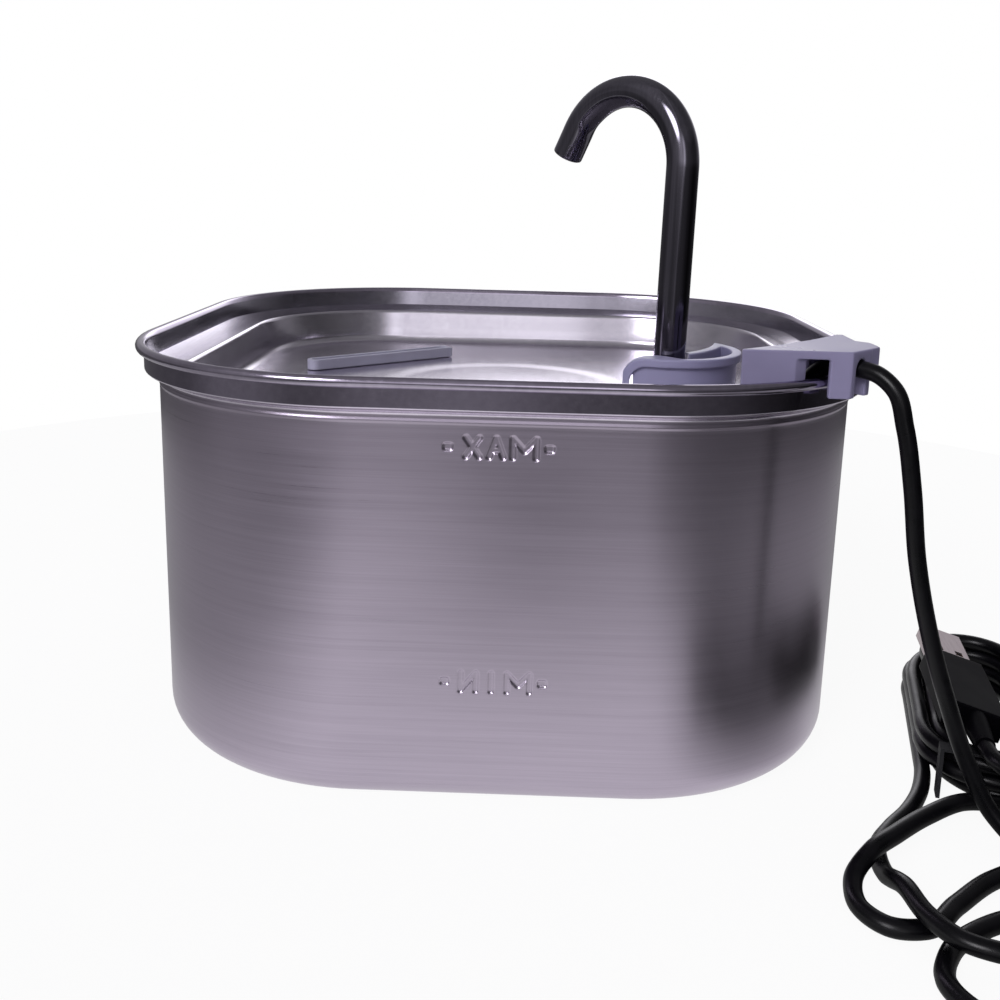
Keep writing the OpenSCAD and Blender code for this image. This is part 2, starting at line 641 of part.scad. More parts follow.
module coil_windings() color([0.72, 0.38, 0.16]) motor_frame() for (z = [volute_len + pump_wall + slip,
    volute_len + pump_wall + 12 + slip]) translate([0, 0, z]) difference() {
        cylinder(r = rotor_tube_out + 4, h = 3.4);
        translate([0, 0, -1]) cylinder(r = rotor_tube_out + slip, h = 6);
    }

module driver_board() color([0.10, 0.35, 0.20]) motor_frame() translate([0, 0, rotor_end - volute_in + 1.6])
    block([pump_w - 2 * pump_wall - 1, pump_w - 2 * pump_wall - 1, 1.2]);

module rear_cap() color([0.13, 0.13, 0.14]) motor_frame() translate([0, 0, volute_len + motor_len - 3]) difference() {
    block([pump_w - 2 * pump_wall - 2 * run, pump_w - 2 * pump_wall - 2 * run, 3]);
    translate([0, 0, -1]) cylinder(d = cord_d + 3, h = 5);
}

module suction_cups() color([0.20, 0.20, 0.22]) for (x = cup_x, y = [-cup_y, cup_y]) corner()
    translate([x, y, tank_floor]) {
        rotate_extrude() polygon([[0, 1], [2, 1], [cup_r - 0.6, 0], [cup_r, 0], [cup_r, 0.5], [3.2, 2.6],
            [2.6, 3.4], [2.6, pump_foot - tank_floor], [0, pump_foot - tank_floor]]);
        translate([0, 0, pump_foot - tank_floor - eps]) cylinder(r = 1.5, h = 1.2);
    }

// ---- Cord inside the tank ----

module cord_gland() color([0.08, 0.08, 0.09]) corner() translate([motor_out - 3, 0, axis_z]) rotate([0, 90, 0]) difference() {
    union() {
        cylinder(d = cord_d + 2.8, h = 4);
        translate([0, 0, 3]) cylinder(d1 = cord_d + 4.6, d2 = cord_d + 1.6, h = gland_len);
    }
    translate([0, 0, -1]) cylinder(d = cord_d + 2 * run, h = gland_len + 5);
}

module tank_cord() color([0.05, 0.05, 0.06]) corner() {
    translate([motor_out - 3.2, 0, axis_z]) rotate([0, 90, 0]) cylinder(d = cord_d, h = turn_x - motor_out + 3.2);
    translate([turn_x, 0, axis_z + arch_r]) rotate([90, 0, 0]) rotate([0, 0, -90])
        rotate_extrude(angle = 90) translate([arch_r, 0]) circle(d = cord_d);
    translate([rise_x, 0, axis_z + arch_r]) cylinder(d = cord_d - 0.02, h = arch_z - axis_z - 2 * arch_r);
    translate([rise_x + arch_r, 0, arch_z - arch_r]) rotate([90, 0, 0]) rotate([0, 0, 90])
        rotate_extrude(angle = 90) translate([arch_r, 0]) circle(d = cord_d);
    translate([rise_x + arch_r, 0, arch_z]) rotate([0, 90, 0]) cylinder(d = cord_d, h = cord_end_x - rise_x - arch_r);
}

// ---- Cable clip ----

module clip_outline(h) {
    linear_extrude(h) polygon([[clip_chord, -clip_tip_y + 3.2], [clip_tip_x, -clip_tip_y],
        [clip_end, -4.55], [clip_end, 4.55], [clip_tip_x, clip_tip_y], [clip_chord, clip_tip_y - 3.2]]);
}

module cable_clip() color([0.55, 0.54, 0.64]) corner() {
    translate([0, 0, clip_under]) clip_outline(clip_plate);
    difference() {
        intersection() {
            translate([0, 0, clip_block_foot]) clip_outline(clip_under - clip_block_foot + eps);
            translate([corner_out, 0, 0]) cylinder(r = slot_in, h = bowl_h + 50);
        }
        translate([clip_chord - 5, -channel_w / 2, clip_block_foot - 1]) cube([40, channel_w, clip_under - clip_block_foot + 1]);
    }
    difference() {
        translate([0, 0, clip_foot]) clip_outline(clip_under - clip_foot + eps);
        translate([corner_out, 0, 0]) cylinder(r = slot_out, h = bowl_h + 50);
        translate([clip_end - 12, -channel_w / 2, clip_foot - 1]) cube([20, channel_w, arch_z - clip_foot + 1]);
        translate([clip_end - 12, 0, arch_z]) rotate([0, 90, 0]) cylinder(d = channel_w, h = 20);
    }
}

// ---- Free cord, hank and plug ----

// A smooth curve through four neighbouring points
function between(a, b, c, d, t) = 0.5 * ((2 * b) + (c - a) * t + (2 * a - 5 * b + 4 * c - d) * t * t
    + (3 * b - a - 3 * c + d) * t * t * t);
function at(p, i) = p[max(0, min(len(p) - 1, i))];
function rings_in(p, i) = max(1, round(norm(p[i + 1] - p[i]) / ring_step));
function path(p) = [for (i = [0:len(p) - 2]) let (n = rings_in(p, i)) for (k = [0:n - 1])
    between(at(p, i - 1), p[i], p[i + 1], at(p, i + 2), k / n), p[len(p) - 1]];
function unit(v) = v / norm(v);
function heading(p, i) = unit(at(p, i + 1) - at(p, i - 1));
// The ring's side direction is level, except where the cord runs straight down
function side_of(d) = unit(cross(d, abs(d[2]) > 0.98 ? [-0.7, 0.7, 0] : [0, 0, 1]));

module tube_along(p, d, sides) {
    n = len(p);
    points = [for (i = [0:n - 1]) let (h = heading(p, i), s = side_of(h), u = cross(s, h))
        for (k = [0:sides - 1]) p[i] + d / 2 * (s * cos(360 * k / sides) + u * sin(360 * k / sides))];
    walls = [for (i = [0:n - 2]) for (k = [0:sides - 1]) let (m = (k + 1) % sides)
        [i * sides + k, i * sides + m, (i + 1) * sides + m, (i + 1) * sides + k]];
    start = [[for (k = [sides - 1:-1:0]) k]];
    end = [[for (k = [0:sides - 1]) (n - 1) * sides + k]];
    polyhedron(points, concat(start, walls, end), convexity = 10);
}

// Moves a route's point with the clip, and stretches the drop with the bowl's height
function placed(p) = [p[0] + cord_end - START[0], p[1] - cord_end + START[0],
    p[2] > 20 ? p[2] + (arch_z - START[2]) * (p[2] - 20) / (START[2] - 20) : p[2]];

module cord() color([0.05, 0.05, 0.06]) {
    tube_along(path([for (p = ROUTE) placed(p)]), cord_d, cord_sides);
    tube_along(path([for (p = TAIL) placed(p)]), cord_d, cord_sides);
}

// The frame of the hank, with x along its runs
module hank_frame() { translate(placed([hank_x, hank_y, 0])) rotate([0, 0, hank_turn]) children(); }

module cord_hank() color([0.06, 0.06, 0.07]) hank_frame() {
    difference() {
        stadium(hank_run + 2 * hank_r, 2 * hank_r, hank_h);
        translate([0, 0, -1]) stadium(hank_run + 2 * hank_gap, 2 * hank_gap, hank_h + 2);
    }
    // The last turn lies on the inner lane
    lane_r = hank_r - hank_pitch;
    intersection() {
        translate([0, 0, hank_h - 0.5]) difference() {
            stadium(hank_run + 2 * lane_r, 2 * lane_r, hank_pitch + 0.5);
            translate([0, 0, -1]) stadium(hank_run + 2 * hank_gap, 2 * hank_gap, hank_pitch + 3);
        }
        union() {
            translate([last_turn_x, -1, 0]) cube([hank_run + hank_r, hank_r + 1, hank_top + 1]);
            translate([-hank_run / 2, -hank_r, 0]) cube([hank_run + 2 * hank_r, hank_r, hank_top + 1]);
        }
    }
}

module cord_tie() color([0.04, 0.04, 0.05]) hank_frame() translate([tie_x - tie_w / 2, 0, 0]) difference() {
    translate([0, -tie_half - 1, 0]) cube([tie_w, 2 * tie_half + 2, hank_h + slip + 0.8]);
    translate([-1, -tie_half, -1]) cube([tie_w + 2, 2 * tie_half, hank_h + 1 + slip]);
}

// The frame of the plug, with x pointing out of its open end
module plug_frame() { translate(placed([plug_x, plug_y, plug_z])) rotate([plug_roll, plug_pitch, plug_turn]) children(); }

module plug_body() color([0.07, 0.07, 0.08]) plug_frame() difference() {
    translate([-grip_len, -grip_w / 2, -grip_t / 2]) cube([grip_len, grip_w, grip_t]);
    translate([-6, -usb_w / 2, -usb_t / 2]) cube([7, usb_w, usb_t]);
}

module plug_shell() color([0.75, 0.74, 0.76]) plug_frame() difference() {
    translate([-6 + run, -usb_w / 2 + run, -usb_t / 2 + run]) cube([usb_len + 6 - run, usb_w - 2 * run, usb_t - 2 * run]);
    translate([-5, -usb_w / 2 + usb_sheet, -usb_t / 2 + usb_sheet])
        cube([usb_len + 10, usb_w - 2 * usb_sheet, usb_t - 2 * usb_sheet]);
    for (y = [-3, 3]) translate([4, y - 1.1, 0]) cube([2.6, 2.2, usb_t]);
}

module plug_tongue() color([0.95, 0.95, 0.95]) plug_frame() {
    translate([-5 + run, -usb_w / 2 + usb_sheet + run, -usb_t / 2 + usb_sheet + run])
        cube([4, usb_w - 2 * usb_sheet - 2 * run, usb_t - 2 * usb_sheet - 2 * run]);
    translate([-2, -5.2, -usb_t / 2 + usb_sheet + run]) cube([usb_len + 1, 10.4, 1.6]);
}

module plug_contacts() color([0.85, 0.68, 0.30]) plug_frame() for (y = [-3.5, -1, 1, 3.5])
    translate([2, y - 0.5, -usb_t / 2 + usb_sheet + run + 1.6]) cube([usb_len - 4, 1, 0.2]);

module plug_strain_relief() color([0.06, 0.06, 0.07]) plug_frame() translate([-grip_len - relief_len, 0, 0])
    rotate([0, 90, 0]) cylinder(d1 = cord_d + 0.8, d2 = grip_t - 0.5, h = relief_len);

bowl();
drinking_tray();
pump_hood();
drain_cover();
filter_basket();
filter_foam();
carbon_pack();
faucet_tube();
outlet_adaptor();
pump_housing();
pump_cover();
intake_foam();
impeller();
rotor_magnet();
rotor_shaft();
shaft_bushes();
stator_core();
coil_windings();
driver_board();
rear_cap();
suction_cups();
cord_gland();
tank_cord();
cable_clip();
cord();
cord_hank();
cord_tie();
plug_body();
plug_shell();
plug_tongue();
plug_contacts();
plug_strain_relief();
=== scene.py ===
import math

import bpy
import numpy as np
from mathutils import Matrix, Vector


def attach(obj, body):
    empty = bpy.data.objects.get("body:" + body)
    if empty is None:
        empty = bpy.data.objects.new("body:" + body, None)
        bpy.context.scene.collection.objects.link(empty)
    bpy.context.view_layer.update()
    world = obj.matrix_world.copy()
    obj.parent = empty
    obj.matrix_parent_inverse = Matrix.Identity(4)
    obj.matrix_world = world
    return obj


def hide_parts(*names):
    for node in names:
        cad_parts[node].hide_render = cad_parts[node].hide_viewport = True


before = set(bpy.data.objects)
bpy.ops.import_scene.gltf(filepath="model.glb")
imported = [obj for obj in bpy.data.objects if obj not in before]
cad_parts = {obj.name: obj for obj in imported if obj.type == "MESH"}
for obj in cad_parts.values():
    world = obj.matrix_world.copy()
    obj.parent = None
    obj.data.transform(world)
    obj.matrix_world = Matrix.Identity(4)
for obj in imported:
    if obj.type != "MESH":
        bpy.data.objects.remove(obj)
bpy.context.scene.view_settings.view_transform = "Standard"
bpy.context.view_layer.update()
MM = 0.001

# ---------------------------------------------------------------- camera


def make_camera():
    data = bpy.data.cameras.new("camera")
    data.sensor_width = 36.0
    data.lens = 38.474
    data.shift_y = -0.11682
    data.clip_start = 0.01
    data.clip_end = 20.0
    cam = bpy.data.objects.new("camera", data)
    right = Vector((0.99941461, 0.02442486, 0.02395558))
    up = Vector((-0.02808433, 0.18584594, 0.98217746))
    back = right.cross(up)
    cam.matrix_world = Matrix((
        (right.x, up.x, back.x, 0.005281),
        (right.y, up.y, back.y, -0.346628),
        (right.z, up.z, back.z, 0.157686),
        (0, 0, 0, 1),
    ))
    bpy.context.scene.collection.objects.link(cam)
    bpy.context.scene.camera = cam


make_camera()

# ---------------------------------------------------------------- sizes, in millimetres
# As in the part's source, but for the bead under the collar and the depth of the dish

HALF = 105.0
RIM_R = 69.5
RIM_C = HALF - RIM_R
BOWL_H = 112.3
LIP_R = 1.4
LIP_Z = BOWL_H - LIP_R
WALL = 0.8
INSET = 6.15
TAPER = 0.5
FILLET = 8.7
BAND_Z = 104.7
BAND_INSET = 2.2
FLARE = 2.2
WALL_TOP = 100.3
BEAD_H = 1.7
BEAD_OUT = 0.2
STEP_R = 50.0
STEP_H = 1.2
FLANGE_Z = 104.0
FLANGE_INSET = 3.5
FLANGE_RISE = 1.5
FLANGE_SLOPE = 5.5
TRAY_T = 0.6
WELL_HALF = 91.9
WELL_R = 49.0
WELL_C = WELL_HALF - WELL_R
WELL_LEAN = 3.0
WELL_FILLET = 3.2
TRAY_FLOOR = 91.7
DISH_R = 40.0
DISH_DEPTH = 0.35
FAUCET_OUT = 65.2
SEAT_Z = 52.5
TUBE_R = 4.5
BORE_R = 3.9
BEND_R = 20.9
BEND = 151.0
BEND_START = 162.3
SPOUT = 8.5
LEAN = 1.0
CORD_D = 4.3
COVER_END = (-22.7, 53.5)
COVER_TURN = 40.0
COVER_STRETCH = 1.06
DRAIN_SLOT = (46.0, 4.2)
DRAIN_SLOT_AT = (-44.164, 35.522)
FAUCET_HOLE_R = 8.15
CORD_NOTCH = (107.6, 140.0)
CORD_NOTCH_HALF = 2.4
MAX_MARK_Z = 94.9
MIN_MARK_Z = 34.5
CREASE_DEPTH = 0.35
CREASE_BACK = 13
CREASE_SPREAD = 3.2
# Nominal distance of the wall inside the rim, for the length along it that the brushing follows
UV_INSET = 10.0

# ---------------------------------------------------------------- cord route, in millimetres

ROUTE = [[88.2, -88.2, 114.6], [91.1, -91, 113.9], [94.6, -94.2, 110.6], [97.1, -96.1, 102],
    [99.6, -97.6, 88], [102, -99, 70], [106, -101, 52], [111, -103, 36], [117, -105.5, 20],
    [123, -108.5, 9], [130, -112, 3.2], [139, -113, 2.4], [146.1, -110, 2.2], [148.7, -103.9, 2.2],
    [146.5, -98, 2.4], [140, -95.2, 2.9], [131, -95.8, 4.5], [119, -99.6, 7], [108, -106, 7],
    [97.5, -114.5, 7.2], [89.5, -121.2, 6.8], [83.6, -127.8, 4], [82.9, -134.9, 2.6], [87.3, -140.5, 2.2],
    [95.5, -141, 2.2], [105, -133, 2.2], [118, -123, 2.2], [130.2, -118.4, 2.2], [137.4, -120.6, 2.2],
    [141.2, -126.9, 2.2], [139.2, -134, 2.2], [131.8, -137.4, 2.2], [120, -136, 2.2], [107.5, -140.5, 2.2],
    [98, -148, 2.2], [93.8, -157, 2.2], [98, -165.8, 2.2], [109, -168, 2.2], [122, -167, 2.2],
    [132.4, -164.4, 2.2], [136, -157.4, 2.2], [133.2, -150.4, 2.3], [126, -148.2, 2.5],
    [116.5, -151.3, 4.4], [107, -154, 6.9], [99, -150.6, 7.1], [94.6, -143, 7], [93.2, -133.5, 6.8],
    [92.4, -123, 2.8], [94, -113, 2.3], [100, -104.5, 2.2], [106.8, -97, 2.2], [112.6, -88.5, 2.2],
    [117, -79, 2.2], [120.1, -68.4, 2.2]]
TAIL = [[149.6, -75.6, 15.4], [148.9, -81.2, 15.8], [148.6, -86.9, 16.3], [148.6, -92.6, 16.6],
    [147.4, -97.6, 16.3], [143.9, -101.4, 15.9], [139.1, -103.1, 15.5], [134, -102.4, 15.5],
    [130.1, -99.7, 15.9], [127.9, -95.9, 16.6], [127.6, -90.3, 17.3]]
HANK_AT = (142.0, -52.5)
HANK_TURN = 75.0
HANK_RUN = 42.0
LANE_OUT = 17.05
LANE_IN = 12.7
LAYER = 4.35
HANK_TURNS = 5.74
TURN_POINTS = 28


def smoothstep(x):
    x = min(1.0, max(0.0, x))
    return x * x * (3 - 2 * x)


def hank_points():
    """The winding's centreline: two lanes, layer on layer, with one change of lane in each turn."""
    u = np.array([math.cos(math.radians(HANK_TURN)), math.sin(math.radians(HANK_TURN))])
    v = np.array([-u[1], u[0]])
    z = [2.2 + LAYER * i for i in range(4)]
    lanes = [(LANE_OUT, z[0]), (LANE_IN, z[0]), (LANE_IN, z[1]), (LANE_OUT, z[1]),
             (LANE_OUT, z[2]), (LANE_IN, z[2]), (LANE_IN, z[3])]
    # the part of each turn in which the cord changes its lane
    windows = [(0.80, 0.96), (0.645, 0.805), (0.49, 0.65), (0.335, 0.495), (0.18, 0.34), (0.025, 0.185)]
    half = HANK_RUN / 2
    points = []
    for i in range(int(HANK_TURNS * TURN_POINTS) + 1):
        g = i / TURN_POINTS
        r, h = lanes[0]
        for k, (a, b) in enumerate(windows):
            f = smoothstep((g - (k + a)) / (b - a))
            r += f * (lanes[k + 1][0] - lanes[k][0])
            h += f * (lanes[k + 1][1] - lanes[k][1])
        t = g % 1.0
        if t < 0.25:
            s, w = -half + HANK_RUN * t / 0.25, r
        elif t < 0.5:
            a = math.pi * (t - 0.25) / 0.25
            s, w = half + r * math.sin(a), r * math.cos(a)
        elif t < 0.75:
            s, w = half - HANK_RUN * (t - 0.5) / 0.25, -r
        else:
            a = math.pi * (t - 0.75) / 0.25
            s, w = -half - r * math.sin(a), -r * math.cos(a)
        p = np.array(HANK_AT) + s * u + w * v
        points.append([float(p[0]), float(p[1]), h])
    return points


def slopes(points):
    """Direction of travel at each point, from the two chords beside it."""
    p = np.array(points, float)
    h = np.linalg.norm(np.diff(p, axis=0), axis=1)
    out = [(p[1] - p[0]) / h[0]]
    for i in range(1, len(p) - 1):
        a, b = h[i - 1], h[i]
        out.append(((p[i + 1] - p[i]) * a / b + (p[i] - p[i - 1]) * b / a) / (a + b))
    out.append((p[-1] - p[-2]) / h[-1])
    return p, h, np.array(out)


def bezier_object(name, points, radius, material, resolution=10):
    """One open Bezier spline through the points, in millimetres, as a round cord."""
    p, h, d = slopes(points)
    curve = bpy.data.curves.new(name, "CURVE")
    curve.dimensions = "3D"
    curve.resolution_u = resolution
    curve.bevel_depth = radius * MM
    curve.bevel_resolution = 5
    curve.use_fill_caps = True
    spline = curve.splines.new("BEZIER")
    spline.bezier_points.add(len(p) - 1)
    for i, b in enumerate(spline.bezier_points):
        before = h[i - 1] if i else h[0]
        after = h[i] if i < len(h) else h[-1]
        b.handle_left_type = b.handle_right_type = "FREE"
        b.co = p[i] * MM
        b.handle_left = (p[i] - d[i] * before / 3) * MM
        b.handle_right = (p[i] + d[i] * after / 3) * MM
        b.radius = 1.0
    curve.materials.append(material)
    obj = bpy.data.objects.new(name, curve)
    bpy.context.scene.collection.objects.link(obj)
    return obj


# ---------------------------------------------------------------- materials


def srgb(r, g, b):
    """An sRGB colour from 0 to 255 as a linear one."""
    out = []
    for c in (r, g, b):
        c /= 255.0
        out.append(c / 12.92 if c <= 0.04045 else ((c + 0.055) / 1.055) ** 2.4)
    return (*out, 1.0)


class Mat:
    """A Principled material with helpers for the nodes that feed it."""

    def __init__(self, name, **values):
        self.mat = bpy.data.materials.new(name)
        self.mat.use_nodes = True
        self.tree = self.mat.node_tree
        self.tree.nodes.clear()
        self.out = self.node("ShaderNodeOutputMaterial")
        self.bsdf = self.node("ShaderNodeBsdfPrincipled")
        self.link(self.bsdf.outputs["BSDF"], self.out.inputs["Surface"])
        self.coord = self.node("ShaderNodeTexCoord").outputs["Object"]
        for key, value in values.items():
            self.bsdf.inputs[key.replace("_", " ")].default_value = value

    def node(self, kind):
        return self.tree.nodes.new(kind)

    def link(self, a, b):
        self.tree.links.new(a, b)

    def noise(self, scale=1.0, stretch=(1, 1, 1), detail=3.0, roughness=0.55, turn=0.0):
        m = self.node("ShaderNodeMapping")
        m.inputs["Scale"].default_value = stretch
        m.inputs["Rotation"].default_value = (0, 0, math.radians(turn))
        self.link(self.coord, m.inputs["Vector"])
        n = self.node("ShaderNodeTexNoise")
        n.inputs["Scale"].default_value = scale
        n.inputs["Detail"].default_value = detail
        n.inputs["Roughness"].default_value = roughness
        self.link(m.outputs["Vector"], n.inputs["Vector"])
        return n.outputs["Fac"]

    def span(self, fac, low, high, out_low=0.0, out_high=1.0):
        r = self.node("ShaderNodeMapRange")
        r.inputs["From Min"].default_value = low
        r.inputs["From Max"].default_value = high
        r.inputs["To Min"].default_value = out_low
        r.inputs["To Max"].default_value = out_high
        self.link(fac, r.inputs["Value"])
        return r.outputs["Result"]

    def math(self, kind, a, b):
        m = self.node("ShaderNodeMath")
        m.operation = kind
        for socket, value in zip(m.inputs, (a, b)):
            if isinstance(value, (int, float)):
                socket.default_value = value
            else:
                self.link(value, socket)
        return m.outputs["Value"]

    def blend(self, a, share_a, b, share_b):
        """The sum of two values, each by its share."""
        return self.math("ADD", self.math("MULTIPLY", a, share_a), self.math("MULTIPLY", b, share_b))

    def mix(self, fac, a, b):
        m = self.node("ShaderNodeMix")
        m.data_type = "RGBA"
        self.link(fac, m.inputs["Factor"])
        for key, value in ((6, a), (7, b)):
            if isinstance(value, tuple):
                m.inputs[key].default_value = value
            else:
                self.link(value, m.inputs[key])
        return m.outputs[2]

    def colour(self, fac, low, high, a, b):
        """Base colour from a to b, two sRGB colours, while the factor goes from low to high."""
        self.link(self.mix(self.span(fac, low, high), srgb(*a), srgb(*b)), self.bsdf.inputs["Base Color"])

    def roughness(self, fac, low, high):
        self.link(self.span(fac, 0.3, 0.7, low, high), self.bsdf.inputs["Roughness"])

    def bump(self, height, strength, distance, before=None):
        b = self.node("ShaderNodeBump")
        b.inputs["Strength"].default_value = strength
        b.inputs["Distance"].default_value = distance
        self.link(height, b.inputs["Height"])
        if before is not None:
            self.link(before, b.inputs["Normal"])
        self.link(b.outputs["Normal"], self.bsdf.inputs["Normal"])
        return b.outputs["Normal"]


def brushed_steel():
    """Sheet steel brushed along the wall: fine level streaks, faint wide bands and smudges."""
    m = Mat("brushed_wall", Metallic=1.0, Anisotropic=0.55)
    fine = m.noise(1.0, (26, 26, 5200), 4.0, 0.7)
    wide = m.noise(1.0, (12, 12, 900), 3.0, 0.6)
    smudge = m.noise(14.0, (1, 1, 2.2), 4.0, 0.6)
    streak = m.blend(fine, 0.6, wide, 0.4)
    tone = m.blend(streak, 0.75, smudge, 0.25)
    m.colour(tone, 0.32, 0.68, (164, 155, 170), (184, 174, 190))
    m.roughness(tone, 0.26, 0.34)
    m.bump(streak, 0.13, 0.00008)
    t = m.node("ShaderNodeTangent")
    t.direction_type = "UV_MAP"
    t.uv_map = "along"
    m.link(t.outputs["Tangent"], m.bsdf.inputs["Tangent"])
    m.bsdf.inputs["Anisotropic Rotation"].default_value = 0.25
    return m.mat


def polished_steel(name, low, high, rough):
    """Drawn sheet with a soft polish: faint waves, wipe marks and tiny scratches."""
    m = Mat(name, Metallic=1.0)
    cloud = m.noise(38.0, (1, 1, 1), 5.0, 0.6)
    wipe = m.noise(1.0, (520, 60, 520), 3.0, 0.6, turn=32)
    fine = m.noise(1.0, (60, 900, 900), 3.0, 0.6, turn=-14)
    tone = m.blend(cloud, 0.55, wipe, 0.45)
    m.colour(tone, 0.35, 0.65, low, high)
    m.roughness(tone, *rough)
    first = m.bump(cloud, 0.006, 0.0006)
    m.bump(fine, 0.03, 0.00003, first)
    return m.mat


def plastic(name, low, high, rough=(0.32, 0.46), grain=2600.0, depth=0.12, spec=0.5, subsurface=0.0):
    """A moulded skin: fine grain, a slow drift of colour and a little handling shine."""
    m = Mat(name, Specular_IOR_Level=spec)
    if subsurface:
        m.bsdf.inputs["Subsurface Weight"].default_value = subsurface
        m.bsdf.inputs["Subsurface Radius"].default_value = (0.6, 0.5, 0.7)
        m.bsdf.inputs["Subsurface Scale"].default_value = 0.003
    drift = m.noise(45.0, (1, 1, 1), 4.0, 0.55)
    skin = m.noise(grain, (1, 1, 1), 2.0, 0.5)
    m.colour(drift, 0.35, 0.65, low, high)
    m.roughness(drift, *rough)
    m.bump(skin, depth, 0.00008)
    return m.mat


def cord_skin():
    """Extruded black jacket: a satin skin with fine lengthwise drift and a few dull rub marks."""
    m = Mat("cord_jacket", Specular_IOR_Level=0.22)
    rub = m.noise(160.0, (1, 1, 1), 5.0, 0.65)
    skin = m.noise(1900.0, (1, 1, 1), 2.0, 0.5)
    m.colour(rub, 0.35, 0.7, (4, 4, 6), (11, 10, 14))
    m.roughness(rub, 0.24, 0.36)
    m.bump(skin, 0.10, 0.00006)
    return m.mat


def chrome_tube():
    """Dark drawn tube with lengthwise polish lines and tiny pits."""
    m = Mat("tube_chrome", Metallic=1.0)
    line = m.noise(1.0, (1500, 1500, 26), 3.0, 0.6)
    pit = m.noise(1500.0, (1, 1, 1), 3.0, 0.7)
    cloud = m.noise(60.0, (1, 1, 1), 3.0, 0.5)
    tone = m.blend(line, 0.6, cloud, 0.4)
    m.colour(tone, 0.38, 0.62, (104, 101, 111), (118, 115, 125))
    m.roughness(tone, 0.08, 0.13)
    m.bump(pit, 0.04, 0.00003)
    return m.mat


def foam(name, low, high):
    """Open foam or fibre: coarse cells over a soft drift."""
    m = Mat(name, Roughness=0.95, Specular_IOR_Level=0.2)
    v = m.node("ShaderNodeTexVoronoi")
    v.inputs["Scale"].default_value = 900.0
    m.link(m.coord, v.inputs["Vector"])
    drift = m.noise(300.0, (1, 1, 1), 5.0, 0.7)
    m.colour(drift, 0.3, 0.7, low, high)
    m.bump(v.outputs["Distance"], 0.5, 0.0006)
    return m.mat


def metal(name, low, high, rough=(0.25, 0.4), stretch=(300, 300, 300)):
    """A plain worked metal with drawn lines."""
    m = Mat(name, Metallic=1.0)
    n = m.noise(1.0, stretch, 4.0, 0.6)
    m.colour(n, 0.35, 0.65, low, high)
    m.roughness(n, *rough)
    m.bump(n, 0.12, 0.00008)
    return m.mat


STEEL = brushed_steel()
POLISH = polished_steel("rim_polish", (161, 153, 170), (179, 171, 188), (0.11, 0.17))
# The flare gets a much brighter copy of the rim's polish on the same sheet: painted reflection in its base colour
FLARE_PAINTED_REFLECTION = polished_steel("flare_polish_painted_reflection", (208, 200, 215), (224, 216, 231), (0.16, 0.22))
TRAY = polished_steel("tray_polish", (204, 199, 210), (216, 211, 221), (0.20, 0.26))
INSIDE = polished_steel("tank_inside", (150, 146, 158), (166, 162, 174), (0.16, 0.24))
CHROME = chrome_tube()
SILICONE = plastic("lavender_silicone", (136, 133, 164), (145, 142, 173), (0.36, 0.5), 1500.0, 0.10, 0.45, 0.08)
CLIP = plastic("lavender_gloss", (136, 131, 160), (143, 138, 168), (0.26, 0.36), 900.0, 0.04, 0.08)
COVER = plastic("cover_plastic", (150, 148, 166), (160, 158, 177), (0.34, 0.46), 2200.0, 0.12)
CORD = cord_skin()
PLUG_BLACK = plastic("plug_grip", (4, 4, 6), (10, 9, 13), (0.34, 0.46), 3200.0, 0.12, 0.03)
PLUG_STEEL = metal("plug_shell_steel", (176, 163, 166), (198, 186, 188), (0.26, 0.36), (900, 60, 900))
BASKET = plastic("basket_plastic", (188, 188, 197), (203, 203, 211), (0.4, 0.55))
PUMP = plastic("pump_case", (28, 28, 31), (40, 40, 44), (0.45, 0.62), 2600.0, 0.25)
IMPELLER = plastic("impeller_plastic", (222, 222, 226), (236, 236, 240), (0.3, 0.45))
CLEAR = plastic("clear_silicone", (196, 196, 202), (212, 212, 218), (0.25, 0.4), subsurface=0.2)
RUBBER = plastic("black_rubber", (18, 18, 20), (29, 29, 32), (0.6, 0.75), 1800.0, 0.25, 0.35)
TONGUE = plastic("tongue_white", (226, 226, 226), (240, 240, 240), (0.35, 0.5))
FERRITE = plastic("ferrite", (62, 60, 60), (78, 76, 76), (0.5, 0.7), 2800.0, 0.35)
CERAMIC = plastic("ceramic_shaft", (232, 232, 228), (246, 246, 243), (0.1, 0.2), 900.0, 0.03)
BOARD = plastic("board_green", (20, 78, 44), (34, 104, 60), (0.3, 0.5), 900.0, 0.1)
LAMINATION = metal("lamination", (120, 120, 126), (150, 150, 156), (0.35, 0.5), (60, 60, 2400))
COPPER = metal("copper_winding", (170, 96, 48), (206, 124, 66), (0.25, 0.4), (2600, 2600, 2600))
GOLD = metal("gold_contact", (206, 168, 86), (226, 192, 112), (0.2, 0.3), (600, 600, 600))
COTTON = foam("filter_cotton", (226, 226, 230), (246, 246, 248))
CARBON = foam("carbon_grains", (28, 28, 31), (62, 62, 66))
DARK_FOAM = foam("intake_foam", (30, 30, 33), (52, 52, 56))

# ---------------------------------------------------------------- mesh helpers


